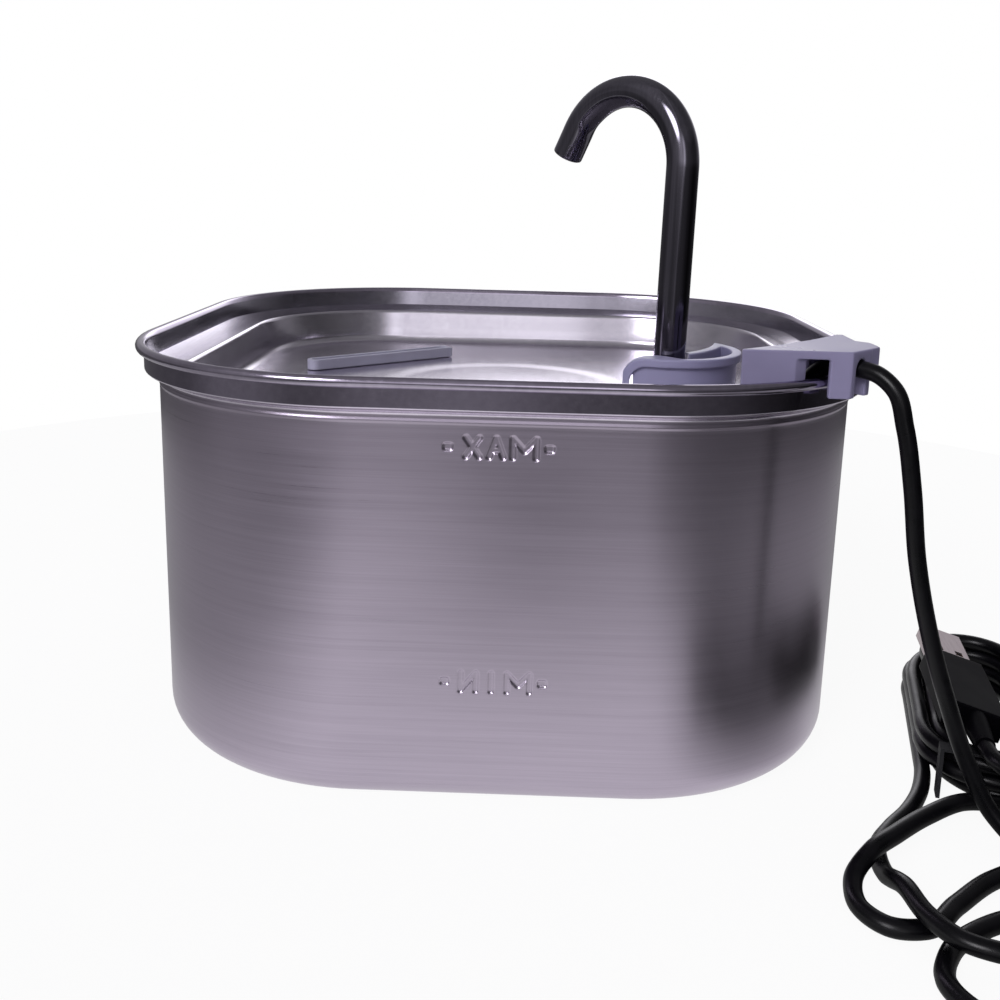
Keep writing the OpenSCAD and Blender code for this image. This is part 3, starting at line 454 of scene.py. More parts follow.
def new_object(name, verts, faces, materials, index=None, sharp=35.0, uv=None):
    """A smooth-shaded mesh from points in millimetres."""
    mesh = bpy.data.meshes.new(name)
    mesh.from_pydata([tuple(c * MM for c in v) for v in verts], [], faces)
    for m in materials:
        mesh.materials.append(m)
    if index is not None:
        mesh.polygons.foreach_set("material_index", index)
    if uv is not None:
        layer = mesh.uv_layers.new(name="along")
        values = np.empty(2 * len(mesh.loops))
        loops = np.empty(len(mesh.loops), dtype=np.int32)
        mesh.loops.foreach_get("vertex_index", loops)
        values[0::2] = np.array(uv)[loops, 0]
        values[1::2] = np.array(uv)[loops, 1]
        layer.data.foreach_set("uv", values)
    mesh.validate()
    mesh.polygons.foreach_set("use_smooth", [True] * len(mesh.polygons))
    mesh.set_sharp_from_angle(angle=math.radians(sharp))
    mesh.update()
    obj = bpy.data.objects.new(name, mesh)
    bpy.context.scene.collection.objects.link(obj)
    return obj


def square_stations(c, arc_steps, flats):
    """Stations round a square with round corners, anticlockwise from the front end of the +x side's flat.

    Each station is its base point, its outward normal and the distance gone.
    """
    out = []
    gone = 0.0
    nominal = HALF - UV_INSET - c
    for side in range(4):
        a0 = math.radians(90 * side)
        normal = (math.cos(a0), math.sin(a0))
        along = (-normal[1], normal[0])
        for s in flats[side]:
            out.append((normal[0] * c + along[0] * s, normal[1] * c + along[1] * s, *normal, gone + s + c))
        gone += 2 * c
        corner = (c * (normal[0] + along[0]), c * (normal[1] + along[1]))
        for i in range(1, arc_steps):
            turn = math.radians(90 * i / arc_steps)
            out.append((*corner, math.cos(a0 + turn), math.sin(a0 + turn), gone + nominal * turn))
        gone += nominal * math.pi / 2
    return out


def even(c, n):
    """Even steps from -c to c."""
    return [-c + 2 * c * i / n for i in range(n + 1)]


def ring_mesh(rings, closed_profile=False):
    """Quads between neighbouring closed rings of equal length."""
    n = len(rings[0])
    verts = [v for ring in rings for v in ring]
    faces = []
    last = len(rings) if closed_profile else len(rings) - 1
    for r in range(last):
        a, b = r * n, ((r + 1) % len(rings)) * n
        for i in range(n):
            j = (i + 1) % n
            faces.append((a + i, a + j, b + j, b + i))
    return verts, faces


def arc(cx, cz, r, a0, a1, n):
    """Points of an arc, from a0 to a1 in degrees."""
    angles = [math.radians(a0 + (a1 - a0) * i / n) for i in range(n + 1)]
    return [(cx + r * math.cos(a), cz + r * math.sin(a)) for a in angles]


def signed_volume(obj):
    """Volume times six, below zero where the faces look inward."""
    total = 0.0
    v = obj.data.vertices
    for p in obj.data.polygons:
        a = v[p.vertices[0]].co
        for i in range(1, len(p.vertices) - 1):
            total += a.dot(v[p.vertices[i]].co.cross(v[p.vertices[i + 1]].co))
    return total


def apply_modifiers(obj):
    """Gives the object the mesh that its modifiers make of it, smooth-shaded."""
    graph = bpy.context.evaluated_depsgraph_get()
    mesh = bpy.data.meshes.new_from_object(obj.evaluated_get(graph))
    obj.modifiers.clear()
    old = obj.data
    obj.data = mesh
    mesh.name = old.name
    mesh.polygons.foreach_set("use_smooth", [True] * len(mesh.polygons))


def combine(obj, pieces, operation):
    """Joins the pieces to the object, or takes them out of it, and removes them."""
    for piece in pieces:
        m = obj.modifiers.new("combine", "BOOLEAN")
        m.operation = operation
        m.solver = "EXACT"
        m.object = piece
    apply_modifiers(obj)
    for piece in pieces:
        bpy.data.objects.remove(piece, do_unlink=True)
    obj.data.set_sharp_from_angle(angle=math.radians(30))
    return obj


def prism(name, outline, z0, z1):
    """An upright prism on an outline in millimetres."""
    n = len(outline)
    verts = [(x, y, z0) for x, y in outline] + [(x, y, z1) for x, y in outline]
    faces = [tuple(reversed(range(n))), tuple(range(n, 2 * n))]
    faces += [(i, (i + 1) % n, n + (i + 1) % n, n + i) for i in range(n)]
    return new_object(name, verts, faces, [])


def stadium_outline(length, width, n=12):
    """A slot with round ends, lengthwise along x."""
    h = (length - width) / 2
    r = width / 2
    right = [(h + r * math.cos(a), r * math.sin(a)) for a in np.linspace(-math.pi / 2, math.pi / 2, n)]
    left = [(-h + r * math.cos(a), r * math.sin(a)) for a in np.linspace(math.pi / 2, 1.5 * math.pi, n)]
    return right + left


def turned(points, degrees, dx=0.0, dy=0.0):
    """The points turned about the origin, then moved."""
    c, s = math.cos(math.radians(degrees)), math.sin(math.radians(degrees))
    return [(dx + x * c - y * s, dy + x * s + y * c) for x, y in points]


def corner_point(t, s):
    """A point of the pump corner's own frame in the plan."""
    k = math.sqrt(0.5)
    return (t * k + s * k, -t * k + s * k)


def corner_outline(points):
    return [corner_point(t, s) for t, s in points]


def node_copy(node, name):
    """A free copy of a CAD node's mesh, in place."""
    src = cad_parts[node]
    mesh = src.data.copy()
    mesh.transform(src.matrix_world)
    mesh.name = name
    mesh.materials.clear()
    obj = bpy.data.objects.new(name, mesh)
    bpy.context.scene.collection.objects.link(obj)
    return obj


def soften(obj, voxel, rounds):
    """Remeshes a copy into even small faces and rounds its edges."""
    m = obj.modifiers.new("even", "REMESH")
    m.mode = "VOXEL"
    m.voxel_size = voxel * MM
    m.use_smooth_shade = True
    s = obj.modifiers.new("round", "SMOOTH")
    s.factor = 0.5
    s.iterations = rounds
    apply_modifiers(obj)
    return obj


def stretch(obj, end, degrees, factor):
    """Lengthens a mesh along a level direction, away from a fixed end in millimetres."""
    u = Vector((math.cos(math.radians(degrees)), math.sin(math.radians(degrees)), 0))
    fixed = Vector((end[0], end[1], 0)) * MM
    for v in obj.data.vertices:
        v.co += u * ((v.co - fixed).dot(u) * (factor - 1))


def coat(obj, material):
    obj.data.materials.clear()
    obj.data.materials.append(material)


# ---------------------------------------------------------------- cord and twist tie

cord_line = ROUTE[:-1] + hank_points() + TAIL
cord = bezier_object("cord_run", cord_line, CORD_D / 2, CORD)
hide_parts("cord", "cord_hank")
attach(cord, "bowl_body")

# ---------------------------------------------------------------- bowl

LETTERS = {
    "M": [((-0.6, 0), (-0.6, 1)), ((-0.6, 1), (0, 0.35)), ((0, 0.35), (0.6, 1)), ((0.6, 1), (0.6, 0))],
    "A": [((-0.36, 0), (0, 1)), ((0, 1), (0.36, 0)), ((-0.2, 0.35), (0.2, 0.35))],
    "X": [((-0.34, 0), (0.34, 1)), ((-0.34, 1), (0.34, 0))],
    "N": [((-0.4, 0), (-0.4, 1)), ((-0.4, 0), (0.4, 1)), ((0.4, 0), (0.4, 1))],
    "I": [((0, 0), (0, 1))],
}
MARK_H = 4.7
MARK_X = 0.45
MARK_DASH = 12.2
MARK_PLACES = (-6.3, -0.6, 6.2)
MARK_HALF = 0.95
MARK_EDGE = 0.6
MARK_LIFT = 0.4
MARK_STEP = 0.22
MARK_SPAN = (-15.4, 17.4)
DASH_HALF = 0.5
DASH_LINE = 0.3
WALL_SLOT, RIM_SLOT, TANK_SLOT, FLARE_SLOT = range(4)


def mark_strokes(z, letters):
    """Centre lines of a level mark: two square dashes and three mirrored letters, as x and z pairs."""
    out = [(x - DASH_HALF, h, x + DASH_HALF, h) for x in (-MARK_DASH, MARK_DASH) for h in (-DASH_LINE, DASH_LINE)]
    for place, name in zip(MARK_PLACES, letters):
        for a, b in LETTERS[name]:
            out.append((place + a[0] * MARK_H, (a[1] - 0.5) * MARK_H,
                        place + b[0] * MARK_H, (b[1] - 0.5) * MARK_H))
    return [(MARK_X + a, z + b, MARK_X + c, z + d) for a, b, c, d in out]


STROKES = np.array(mark_strokes(MAX_MARK_Z, "XAM") + mark_strokes(MIN_MARK_Z, "NIM"))


def mark_lift(x, z):
    """Depth of the marks pressed into the front wall at its points."""
    a = STROKES[None, :, 0:2]
    b = STROKES[None, :, 2:4]
    p = np.stack([x, z], axis=1)[:, None, :]
    ab = b - a
    t = np.clip(((p - a) * ab).sum(2) / (ab**2).sum(2), 0, 1)
    d = np.linalg.norm(p - a - t[..., None] * ab, axis=2).min(1)
    f = np.clip((MARK_HALF - d) / MARK_EDGE, 0, 1)
    return MARK_LIFT * f * f * (3 - 2 * f)


def make_bowl():
    """The shell as one closed sheet: the wall, bead, flare, collar and lip outside, and back down inside."""
    c = RIM_C
    r = RIM_R
    foot_c = r - INSET - TAPER - FILLET
    wall_in = r - INSET
    out = arc(foot_c, FILLET, FILLET, -90, 0, 12)
    z0, z1 = FILLET, WALL_TOP
    # close rows where the marks are pressed in
    spans = ((12, 98, 6), (30.6, 38.6, MARK_STEP), (91.0, 99.0, MARK_STEP))
    rows = sorted({round(z, 2) for span in spans for z in np.arange(*span)})
    rows = [z for z in rows if z0 + 0.5 < z < z1 - 0.6]
    wall = [(wall_in - TAPER * (1 - (z - z0) / (z1 - z0)), z) for z in rows]
    bead = [(wall_in + BEAD_OUT * math.sin(math.pi * i / 10) ** 2, WALL_TOP - 0.3 + BEAD_H * i / 10)
            for i in range(11)]
    lo, hi = BAND_Z - FLARE, BAND_Z
    x0, x1 = wall_in, r - BAND_INSET
    flare = [(x0, lo - 0.2)]
    flare += [(x0 + (x1 - x0) * (0.5 - 0.5 * math.cos(math.pi * i / 12)), lo + (hi - lo) * i / 12)
              for i in range(1, 13)]
    flare += [(x1, hi + h) for h in (0.15, 0.45, 1.0, 2.6, 4.2)]
    lip = [(x1, LIP_Z - 1.0)] + arc(r - LIP_R, LIP_Z, LIP_R, -120, 150, 20)
    ins = [(x1 - WALL, LIP_Z - 0.3), (x1 - WALL, BAND_Z + 0.6)]
    ins += [(x1 - WALL - (x1 - x0) * smoothstep(i / 8), hi + 0.3 - (hi - lo) * i / 8) for i in range(1, 9)]
    ins += [(wall_in - WALL, WALL_TOP), (wall_in - WALL - TAPER / 2, 50)]
    ins += [(foot_c + (FILLET - WALL) * math.cos(a), FILLET + (FILLET - WALL) * math.sin(a))
            for a in map(math.radians, range(0, -91, -10))]
    profile = out + wall + bead + flare + lip + ins
    first_flare = len(out) + len(wall) + len(bead)
    last_flare = first_flare + len(flare) - 6
    first_inside = first_flare + len(flare) + len(lip)

    def slot_of(row):
        if row < first_flare:
            return WALL_SLOT
        if row < last_flare:
            return FLARE_SLOT
        return TANK_SLOT if row >= first_inside else RIM_SLOT

    front = sorted(set(np.round(np.arange(*MARK_SPAN, MARK_STEP), 3)) | set(np.round(np.linspace(-c, c, 15), 3)))
    stations = square_stations(c, 28, [even(c, 8), even(c, 8), even(c, 8), front])
    rings, uv = [], []
    for x, z in profile:
        rings.append(np.array([(bx + nx * x, by + ny * x, z) for bx, by, nx, ny, _ in stations]))
        uv += [(s[4] * MM, z * MM) for s in stations]
    # the pressed marks on the front wall
    facing = np.array(stations)[:, 3] < -0.999
    for ring in rings[len(out):len(out) + len(wall)]:
        ring[facing, 1] += mark_lift(ring[facing, 0], ring[facing, 2])
    verts = [tuple(v) for ring in rings for v in ring]
    n = len(stations)
    faces, index = [], []
    for k in range(len(profile) - 1):
        for i in range(n):
            j = (i + 1) % n
            faces.append((k * n + i, k * n + j, (k + 1) * n + j, (k + 1) * n + i))
            index.append(slot_of(k))

    def disc(start, z_flat, z_step, inside):
        """The underside or the tank's floor, from the fillet in to the stamped step."""
        slot = TANK_SLOT if inside else WALL_SLOT
        prev = start
        for radius, z in ((STEP_R + 1, z_flat), (STEP_R - 0.4, z_flat), (STEP_R - 2, z_step), (STEP_R / 2, z_step)):
            base = len(verts)
            for bx, by, nx, ny, _ in stations:
                ex, ey = bx + nx * 10, by + ny * 10
                k = radius / math.hypot(ex, ey)
                verts.append((ex * k, ey * k, z))
            uv.extend([(v[0] * MM, v[1] * MM) for v in verts[base:]])
            for i in range(n):
                j = (i + 1) % n
                quad = (prev + i, base + i, base + j, prev + j)
                faces.append(quad[::-1] if inside else quad)
                index.append(slot)
            prev = base
        verts.append((0, 0, z_step))
        uv.append((0, 0))
        for i in range(n):
            tri = (prev + i, len(verts) - 1, prev + (i + 1) % n)
            faces.append(tri[::-1] if inside else tri)
            index.append(slot)

    disc(0, 0.0, STEP_H, False)
    disc((len(profile) - 1) * n, WALL, STEP_H + WALL, True)
    return new_object("bowl_shell", verts, faces, [STEEL, POLISH, INSIDE, FLARE_PAINTED_REFLECTION], index, 40, uv)


bowl = make_bowl()
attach(bowl, "bowl_body")
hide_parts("bowl")

# ---------------------------------------------------------------- drinking tray


def make_tray():
    """Flange, well and dished floor as one closed sheet, with rings from the edge to the middle and back."""
    rim = square_stations(RIM_C, 28, [even(RIM_C, 10)] * 4)
    well = square_stations(WELL_C, 28, [even(WELL_C, 10)] * 4)
    edge = RIM_R - FLANGE_INSET
    foot = WELL_R - WELL_LEAN
    z = TRAY_FLOOR
    on_rim = [(edge - FLANGE_SLOPE * i / 6, FLANGE_Z + FLANGE_RISE * (1 - i / 6) ** 1.5) for i in range(7)]
    on_well = [(WELL_R + 0.6, FLANGE_Z), (WELL_R + 0.2, FLANGE_Z - 0.03), (WELL_R - 0.2, FLANGE_Z - 0.16),
               (WELL_R - 0.5, FLANGE_Z - 0.42), (WELL_R - 0.72, FLANGE_Z - 0.85)]
    top_z, foot_z = FLANGE_Z - 1.2, z + WELL_FILLET
    on_well += [(WELL_R - 0.8 - (WELL_LEAN - 0.8) * f, top_z + (foot_z - top_z) * f) for f in (0, 0.33, 0.66)]
    on_well += arc(foot - WELL_FILLET, z + WELL_FILLET, WELL_FILLET, 0, -90, 10)
    dish = [(DISH_R + 2.6 - 9.0 * i / 14, DISH_DEPTH * smoothstep(i / 14)) for i in range(15)]
    dish += [(DISH_R * 0.6, DISH_DEPTH), (DISH_R * 0.3, DISH_DEPTH)]

    def under(points):
        """The profile moved down and away by the sheet's thickness."""
        p = np.array(points)
        d = np.gradient(p, axis=0)
        d /= np.linalg.norm(d, axis=1)[:, None]
        return [(x - TRAY_T * dz, h + TRAY_T * dx) if dx < 0 else (x + TRAY_T * dz, h - TRAY_T * dx)
                for (x, h), (dx, dz) in zip(p, d)]

    def ring(stations, x, h):
        return [(bx + nx * x, by + ny * x, h) for bx, by, nx, ny, _ in stations]

    def circle(radius, h):
        out = []
        for bx, by, nx, ny, _ in well:
            ex, ey = bx + nx * 8, by + ny * 8
            k = radius / math.hypot(ex, ey)
            out.append((ex * k, ey * k, h))
        return out

    def side(drop, rims, wells):
        """One side's rings, with one halfway from the well's foot to the dish's round edge."""
        rings = [ring(rim, x, h) for x, h in rims] + [ring(well, x, h) for x, h in wells]
        edge_of_dish = circle(DISH_R + 2.6, z - drop)
        flat = [tuple(p * 0.5 + q * 0.5 for p, q in zip(a, b)) for a, b in zip(rings[-1], edge_of_dish)]
        return rings + [flat] + [circle(r, z - drop - d) for r, d in dish]

    top = side(0.0, on_rim, on_well)
    low = side(TRAY_T, under(on_rim), under(on_well))
    n = len(well)
    verts = [v for r in top for v in r] + [(0, 0, z - DISH_DEPTH)]
    base = len(verts)
    verts += [v for r in low for v in r] + [(0, 0, z - DISH_DEPTH - TRAY_T)]
    faces = []
    for start, flip in ((0, False), (base, True)):
        for k in range(len(top)):
            for i in range(n):
                j = (i + 1) % n
                a, b = start + k * n + i, start + k * n + j
                if k < len(top) - 1:
                    face = (a, b, b + n, a + n)
                else:
                    face = (a, b, start + len(top) * n)
                faces.append(face[::-1] if flip else face)
    faces += [(i, base + i, base + (i + 1) % n, (i + 1) % n) for i in range(n)]
    return new_object("tray_sheet", verts, faces, [TRAY])


def tray_object():
    """The sheet with its drain slot, its hole for the faucet and its notch for the cord."""
    fx, fy = corner_point(FAUCET_OUT, 0)
    ring = [(fx + FAUCET_HOLE_R * math.cos(a), fy + FAUCET_HOLE_R * math.sin(a))
            for a in np.linspace(0, 2 * math.pi, 40, endpoint=False)]
    (t0, t1), w = CORD_NOTCH, CORD_NOTCH_HALF
    notch = corner_outline([(t0, -w), (t1, -w), (t1, w), (t0, w)])
    sheet = make_tray()
    cutters = [
        prism("cut_drain", turned(stadium_outline(*DRAIN_SLOT), COVER_TURN, *DRAIN_SLOT_AT), 85, 99),
        prism("cut_faucet", ring, 85, 100),
        prism("cut_cord", notch, TRAY_FLOOR + WELL_FILLET + 1, 130),
    ]
    return combine(sheet, cutters, "DIFFERENCE")


tray = tray_object()
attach(tray, "tray_body")
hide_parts("drinking_tray")

# ---------------------------------------------------------------- faucet


def make_faucet():
    """The bent tube, with its bore and a shallow crease on the inside of the last bend."""
    base = Vector((*corner_point(FAUCET_OUT, 0), SEAT_Z))
    place = Matrix.Rotation(math.radians(LEAN), 3, "Y") @ Matrix.Rotation(math.radians(135), 3, "Z")
    straight = (BEND_START - SEAT_Z) / math.cos(math.radians(LEAN))
    line = [(Vector((0, 0, straight * i / 44)), Vector((0, 0, 1))) for i in range(45)]
    for i in range(1, 61):
        a = math.radians(BEND * i / 60)
        at = Vector((BEND_R - BEND_R * math.cos(a), 0, straight + BEND_R * math.sin(a)))
        line.append((at, Vector((math.sin(a), 0, math.cos(a)))))
    end, along = line[-1]
    for i in range(1, 9):
        line.append((end + along * SPOUT * i / 8, along))
    sides = 56
    total = len(line)

    def ring(centre, direction, radius, crease=0.0):
        y = Vector((0, 1, 0))
        x = y.cross(direction).normalized()
        out = []
        for s in range(sides):
            a = 2 * math.pi * s / sides
            r = radius - crease * max(0.0, math.cos(a)) ** 3
            out.append(centre + x * (r * math.cos(a)) + y * (r * math.sin(a)))
        return out

    rings = []
    for k, (p, d) in enumerate(line[:-1]):
        crease = CREASE_DEPTH * math.exp(-((k - (total - CREASE_BACK)) / CREASE_SPREAD) ** 2)
        rings.append(ring(p, d, TUBE_R, crease))
    p, d = line[-1]
    mouth = ((0.35, TUBE_R), (0.12, TUBE_R - 0.06), (0.0, TUBE_R - 0.22), (0.0, BORE_R + 0.14), (0.14, BORE_R))
    rings += [ring(p - d * back, d, r) for back, r in mouth]
    rings += [ring(q, e, BORE_R) for q, e in line[total - 2::-1]]
    rings = [[tuple(place @ v + base) for v in r] for r in rings]
    verts, faces = ring_mesh(rings, closed_profile=True)
    obj = new_object("faucet_shell", verts, faces, [CHROME], sharp=50)
    if signed_volume(obj) < 0:
        obj.data.flip_normals()
    return obj


faucet = make_faucet()
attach(faucet, "faucet_body")
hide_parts("faucet_tube")

# ---------------------------------------------------------------- moulded pieces

hood = soften(node_copy("pump_hood", "hood_skin"), 0.28, 7)
coat(hood, SILICONE)
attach(hood, "tray_body")
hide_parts("pump_hood")

CLIP_FRONT = -91.4
CLIP_LEFT = 58.4
CLIP_END_R = 3.0
CLIP_TOP = 119.2
CLIP_PLATE = 2.1
CLIP_BACK = (105.2, 106.9)
CLIP_LOBE = [(112.0, 2.0), (124.7, 2.0), (124.4, 9.2), (122.6, 11.2), (119.0, 14.4), (113.0, 14.4)]
CLIP_HOLLOW = [(109.0, -10.4), (118.6, -10.4), (118.6, 10.4), (109.0, 10.4)]
CLIP_GAP = (74.9, 79.7)
CLIP_FACE = (66.4, 71.0)
# Heights from well below the clip to well above it
CUT_SPAN = (100, 130)


def rim_arc(radius, x0, x1, n=12):
    """Points of a circle about the rim corner's centre, on its front side, from x0 to x1."""
    return [(x, -RIM_C - math.sqrt(radius**2 - (x - RIM_C) ** 2)) for x in np.linspace(x0, x1, n)]


def make_clip():
    """The clip with its hollow back, trimmed legs, round ends and wide cord lobe."""
    clip = node_copy("cable_clip", "clip_skin")
    back_0, back_1 = CLIP_BACK
    back = [(back_0 + (back_1 - back_0) * (1 - (s / 23) ** 2), s) for s in np.linspace(-25, 25, 21)]
    round_end = arc(CLIP_LEFT + CLIP_END_R, CLIP_FRONT + CLIP_END_R, CLIP_END_R, 180, 270, 10)
    under_plate = CLIP_TOP - CLIP_PLATE
    gap_0, gap_1 = CLIP_GAP
    face_r, face_0 = CLIP_FACE
    tip = [(CLIP_LEFT, -84.6), (CLIP_LEFT, CLIP_FRONT), (63.0, CLIP_FRONT), (63.0, -80.0)]
    wall = [(118.9, 3.0), (CLIP_LOBE[2][0], 3.0), *CLIP_LOBE[2:4], (119.4, 8.0)]
    face = rim_arc(face_r, face_0, gap_0) + [(gap_0, -99), (face_0, -99)]
    gap = [(gap_0, -99), (gap_1, -99), (gap_1, -86), (gap_0, -86)]
    combine(clip, [
        prism("add_tip", tip, 105.8, CLIP_TOP),
        prism("add_lobe", corner_outline(CLIP_LOBE), under_plate - 0.2, CLIP_TOP),
        prism("add_wall", corner_outline(wall), 112.8, CLIP_TOP - 0.5),
    ], "UNION")
    combine(clip, [
        prism("cut_back", corner_outline([(90, 25), (90, -25)] + back), *CUT_SPAN),
        prism("cut_face", face, *CUT_SPAN),
        prism("cut_gap", gap, CUT_SPAN[0], under_plate),
        prism("cut_hollow", corner_outline(CLIP_HOLLOW), CUT_SPAN[0], under_plate),
        prism("cut_end", round_end + [(62, -96), (50, -96), (50, -88)], *CUT_SPAN),
    ], "DIFFERENCE")
    return soften(clip, 0.2, 22)


clip = make_clip()
coat(clip, CLIP)
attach(clip, "clip_body")
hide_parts("cable_clip")

cover = soften(node_copy("drain_cover", "cover_skin"), 0.2, 5)
stretch(cover, COVER_END, COVER_TURN, COVER_STRETCH)
coat(cover, COVER)
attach(cover, "drain_cover_body")
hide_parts("drain_cover")

grip = soften(node_copy("plug_body", "grip_skin"), 0.25, 12)
coat(grip, PLUG_BLACK)
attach(grip, "bowl_body")
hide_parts("plug_body")

# ---------------------------------------------------------------- CAD pieces that keep their own shape

COATS = {
    "filter_basket": BASKET, "filter_foam": COTTON, "carbon_pack": CARBON, "outlet_adaptor": CLEAR,
    "pump_housing": PUMP, "pump_cover": PUMP, "intake_foam": DARK_FOAM, "impeller": IMPELLER,
    "rotor_magnet": FERRITE, "rotor_shaft": CERAMIC, "shaft_bushes": RUBBER, "stator_core": LAMINATION,
    "coil_windings": COPPER, "driver_board": BOARD, "rear_cap": PUMP, "suction_cups": RUBBER,
    "cord_gland": RUBBER, "tank_cord": CORD, "cord_tie": RUBBER, "plug_shell": PLUG_STEEL,
    "plug_tongue": TONGUE, "plug_contacts": GOLD, "plug_strain_relief": PLUG_BLACK,
}
for name, material in COATS.items():
    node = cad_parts[name]
    for slot in node.material_slots:
        slot.material = material
    if not node.material_slots:
        node.data.materials.append(material)

# ---------------------------------------------------------------- floor, world and lamps

# Brightness of the studio round the object just above the horizon, by degrees from the front, left negative
HORIZON = [(-180, 2.6), (180, 2.6), (-175, 1.1), (-169, 0.4), (-148, 0.2), (-120, 0.13), (-90, 0.07), (-60, 0.08),
           (-42, 0.2), (-30, 0.5), (-16, 0.8), (-8, 0.55), (-4, 0.6), (0, 1.2), (4, 1.6), (8, 1.2), (12, 0.5),
           (17, 0.12), (30, 0.05), (95, 0.05), (125, 0.2), (150, 0.7), (163, 1.4), (172, 2.5)]
# Brightness of the floor's pool by millimetres from left to right
POOL = [(-200, 0.5), (200, 0.3), (-62, 0.85), (-30, 0.5), (-5, 0.14), (25, 0.14), (48, 0.45), (75, 0.4), (100, 0.15)]
# Heights, as the z of a direction, over which the band above the horizon comes and goes
BAND_RISE = (-0.03, 0.12)
BAND_FALL = (0.36, 0.6)
# Brightness of the studio below the horizon
LOW = [(-180, 0.1), (180, 0.1), (-95, 0.1), (-75, 0.2), (-55, 0.2), (-35, 0.12), (-20, 0.13), (-8, 0.2), (-5, 0.26),
       (-1.3, 0.28), (0.8, 0.19), (3, 0.13), (6, 0.09), (12, 0.09), (25, 0.09), (40, 0.07), (60, 0.03), (80, 0.01),
       (100, 0.02)]
TOP_LEVEL = 0.14
SPOT_AT = (-0.55, -0.85, 0.67)
SPOT_EDGE = (math.cos(math.radians(17)), math.cos(math.radians(2)))
SPOT_LEVEL = 13.0
WORLD_TINT = (0.985, 0.97, 1.02)
WHITE = (1, 1, 1, 1)
FLOOR_Z = -0.02
FLOOR_RINGS = (140.0, 280.0, 420.0)
HEAP_AT = (0.125, -0.125, 0.0)
# How much of its light the floor gives out by itself, to the camera and in mirror images
CAMERA_SHARE = 0.93
MIRROR_SHARE = 0.88


def set_stops(ramp, stops):
    """Gives a ramp its grey stops, as place and level; the first two are the ramp's own ends."""
    elements = ramp.color_ramp.elements
    for i, (at, level) in enumerate(stops):
        e = elements[i] if i < 2 else elements.new(at)
        e.position = at
        e.color = (level, level, level, 1)


def make_floor():
    """White paper under the object, with a painted pool of light and painted shade that only mirror images show."""
    n = 96
    verts = [(0.0, 0.0, FLOOR_Z)]
    faces = []
    for k, r in enumerate(FLOOR_RINGS):
        base = len(verts)
        verts += [(r * math.cos(2 * math.pi * i / n), r * math.sin(2 * math.pi * i / n), FLOOR_Z) for i in range(n)]
        for i in range(n):
            j = (i + 1) % n
            if k == 0:
                faces.append((0, base + i, base + j))
            else:
                faces.append((base - n + i, base + i, base + j, base - n + j))
    floor = new_object("floor", verts, faces, [])
    m = Mat("floor_paper", Roughness=0.9, Specular_IOR_Level=0.1)
    grain = m.noise(220.0, (1, 1, 1), 4.0, 0.6)
    m.colour(grain, 0.3, 0.7, (236, 236, 238), (240, 240, 242))

    def dimmed(value, start, end, level):
        """White, going to a grey while the value goes from start to end."""
        return m.mix(m.span(value, start, end), WHITE, (level, level, level, 1))

    # the painted pool of light lies in front of the object, with painted shade under the camera, at both sides and
    # painted shadow under the cord's heap
    place = m.node("ShaderNodeSeparateXYZ")
    m.link(m.coord, place.inputs["Vector"])
    x, y = place.outputs["X"], place.outputs["Y"]
    across = m.node("ShaderNodeValToRGB")
    m.link(m.span(x, -0.2, 0.2), across.inputs["Fac"])
    set_stops(across, [(0.5 + at / 400, level) for at, level in POOL])
    pool = m.mix(m.span(y, -0.14, -0.30), WHITE, across.outputs["Color"])
    heap = m.node("ShaderNodeVectorMath")
    heap.operation = "DISTANCE"
    heap.inputs[1].default_value = HEAP_AT
    m.link(m.coord, heap.inputs[0])
    for factor in (dimmed(x, -0.06, -0.15, 0.36), dimmed(heap.outputs["Value"], 0.07, 0.035, 0.25),
                   dimmed(x, 0.09, 0.15, 0.35)):
        product = m.node("ShaderNodeVectorMath")
        product.operation = "MULTIPLY"
        m.link(pool, product.inputs[0])
        m.link(factor, product.inputs[1])
        pool = product.outputs["Vector"]
    path = m.node("ShaderNodeLightPath")
    glow = m.node("ShaderNodeEmission")
    m.link(m.mix(path.outputs["Is Camera Ray"], pool, WHITE), glow.inputs["Color"])
    glow.inputs["Strength"].default_value = 1.0
    mirrored = m.math("MAXIMUM", path.outputs["Is Glossy Ray"], path.outputs["Is Transmission Ray"])
    share = m.blend(path.outputs["Is Camera Ray"], CAMERA_SHARE, mirrored, MIRROR_SHARE)
    mix = m.node("ShaderNodeMixShader")
    m.link(share, mix.inputs["Fac"])
    m.link(m.bsdf.outputs["BSDF"], mix.inputs[1])
    m.link(glow.outputs["Emission"], mix.inputs[2])
    m.link(mix.outputs["Shader"], m.out.inputs["Surface"])
    floor.data.materials.append(m.mat)


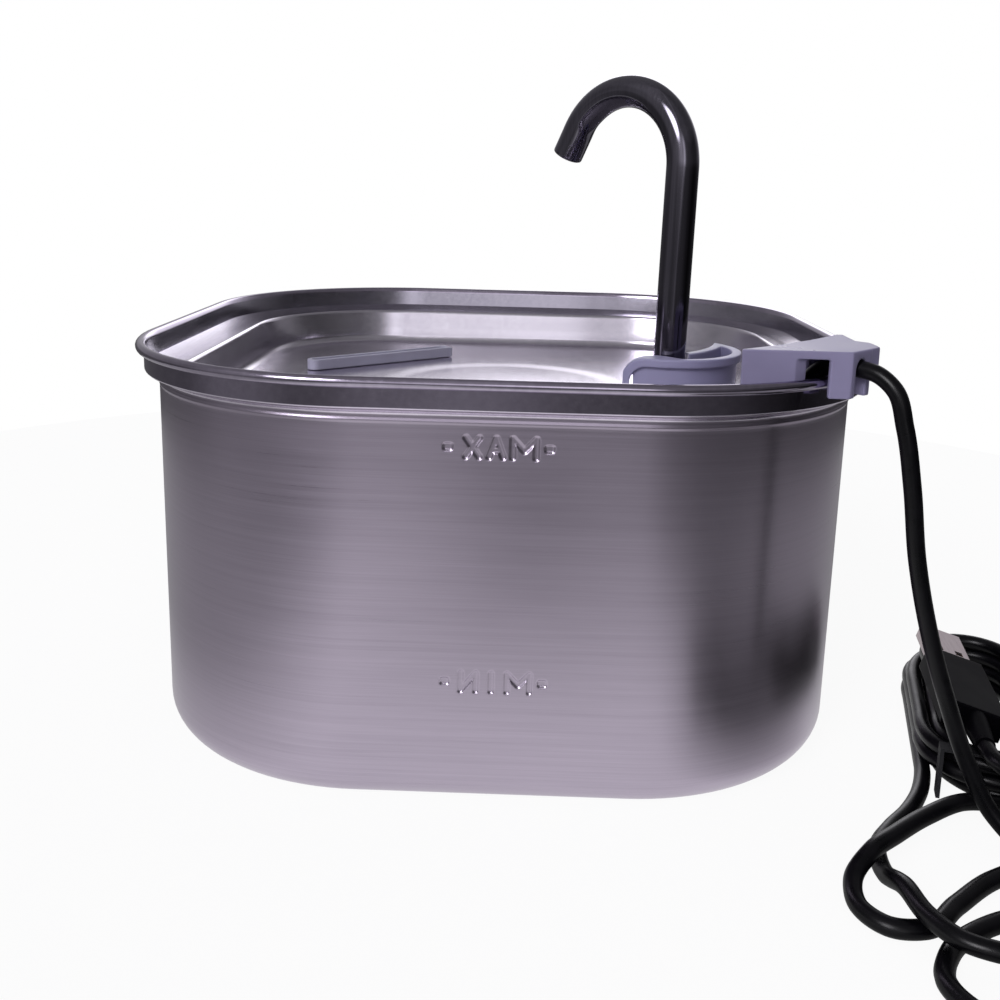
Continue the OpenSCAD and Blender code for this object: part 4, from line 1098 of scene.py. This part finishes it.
def make_world():
    """White behind the object; for all else a dark studio with a bright band round it and a soft spot in front."""
    world = bpy.data.worlds.new("studio")
    bpy.context.scene.world = world
    world.use_nodes = True
    tree = world.node_tree
    tree.nodes.clear()
    new, link = tree.nodes.new, tree.links.new
    out = new("ShaderNodeOutputWorld")
    coord = new("ShaderNodeTexCoord")
    split = new("ShaderNodeSeparateXYZ")
    link(coord.outputs["Generated"], split.inputs["Vector"])

    def calc(kind, *values):
        m = new("ShaderNodeMath")
        m.operation = kind
        for socket, value in zip(m.inputs, values):
            if isinstance(value, (int, float)):
                socket.default_value = value
            else:
                link(value, socket)
        return m.outputs["Value"]

    def step(value, low, high):
        m = new("ShaderNodeMapRange")
        m.interpolation_type = "SMOOTHSTEP"
        m.inputs["From Min"].default_value = low
        m.inputs["From Max"].default_value = high
        link(value, m.inputs["Value"])
        return m.outputs["Result"]

    x, y, z = split.outputs["X"], split.outputs["Y"], split.outputs["Z"]
    turn = calc("ARCTAN2", x, calc("MULTIPLY", y, -1.0))
    place = calc("ADD", calc("MULTIPLY", turn, 1 / (2 * math.pi)), 0.5)

    def round_the_object(stops):
        """Brightness by degrees round the object; the ramp holds half of it, since it ends at 1."""
        ramp = new("ShaderNodeValToRGB")
        link(place, ramp.inputs["Fac"])
        set_stops(ramp, [(0.5 + degrees / 360, level / 2) for degrees, level in stops])
        return calc("MULTIPLY", ramp.outputs["Color"], 2.0)

    band = calc("MULTIPLY", step(z, *BAND_RISE), calc("SUBTRACT", 1.0, step(z, *BAND_FALL)))
    level = calc("MULTIPLY", band, round_the_object(HORIZON))
    level = calc("ADD", level, calc("MULTIPLY", step(z, *BAND_FALL), TOP_LEVEL))
    level = calc("ADD", level, round_the_object(LOW))
    aim = new("ShaderNodeVectorMath")
    aim.operation = "DOT_PRODUCT"
    aim.inputs[1].default_value = Vector(SPOT_AT).normalized()
    link(coord.outputs["Generated"], aim.inputs[0])
    level = calc("ADD", level, calc("MULTIPLY", step(aim.outputs["Value"], *SPOT_EDGE), SPOT_LEVEL))
    tint = new("ShaderNodeVectorMath")
    tint.operation = "SCALE"
    tint.inputs[0].default_value = WORLD_TINT
    link(level, tint.inputs["Scale"])
    soft = new("ShaderNodeBackground")
    link(tint.outputs["Vector"], soft.inputs["Color"])
    soft.inputs["Strength"].default_value = 1.0
    white = new("ShaderNodeBackground")
    white.inputs["Color"].default_value = WHITE
    white.inputs["Strength"].default_value = 1.0
    path = new("ShaderNodeLightPath")
    mix = new("ShaderNodeMixShader")
    link(path.outputs["Is Camera Ray"], mix.inputs["Fac"])
    link(soft.outputs["Background"], mix.inputs[1])
    link(white.outputs["Background"], mix.inputs[2])
    link(mix.outputs["Shader"], out.inputs["Surface"])


def lamp(name, place, aim, size, power):
    """A square soft box that mirror images don't show."""
    data = bpy.data.lights.new(name, "AREA")
    data.shape = "RECTANGLE"
    data.size = size
    data.size_y = size
    data.energy = power
    obj = bpy.data.objects.new(name, data)
    obj.location = place
    obj.rotation_euler = (Vector(aim) - Vector(place)).to_track_quat("-Z", "Y").to_euler()
    obj.visible_glossy = False
    bpy.context.scene.collection.objects.link(obj)


make_floor()
make_world()
lamp("softbox_top", (0.0, 0.0, 1.1), (0.0, 0.0, 0.05), 0.9, 1.6)
lamp("softbox_back", (0.25, 0.95, 0.6), (0.0, 0.0, 0.1), 0.7, 0.8)
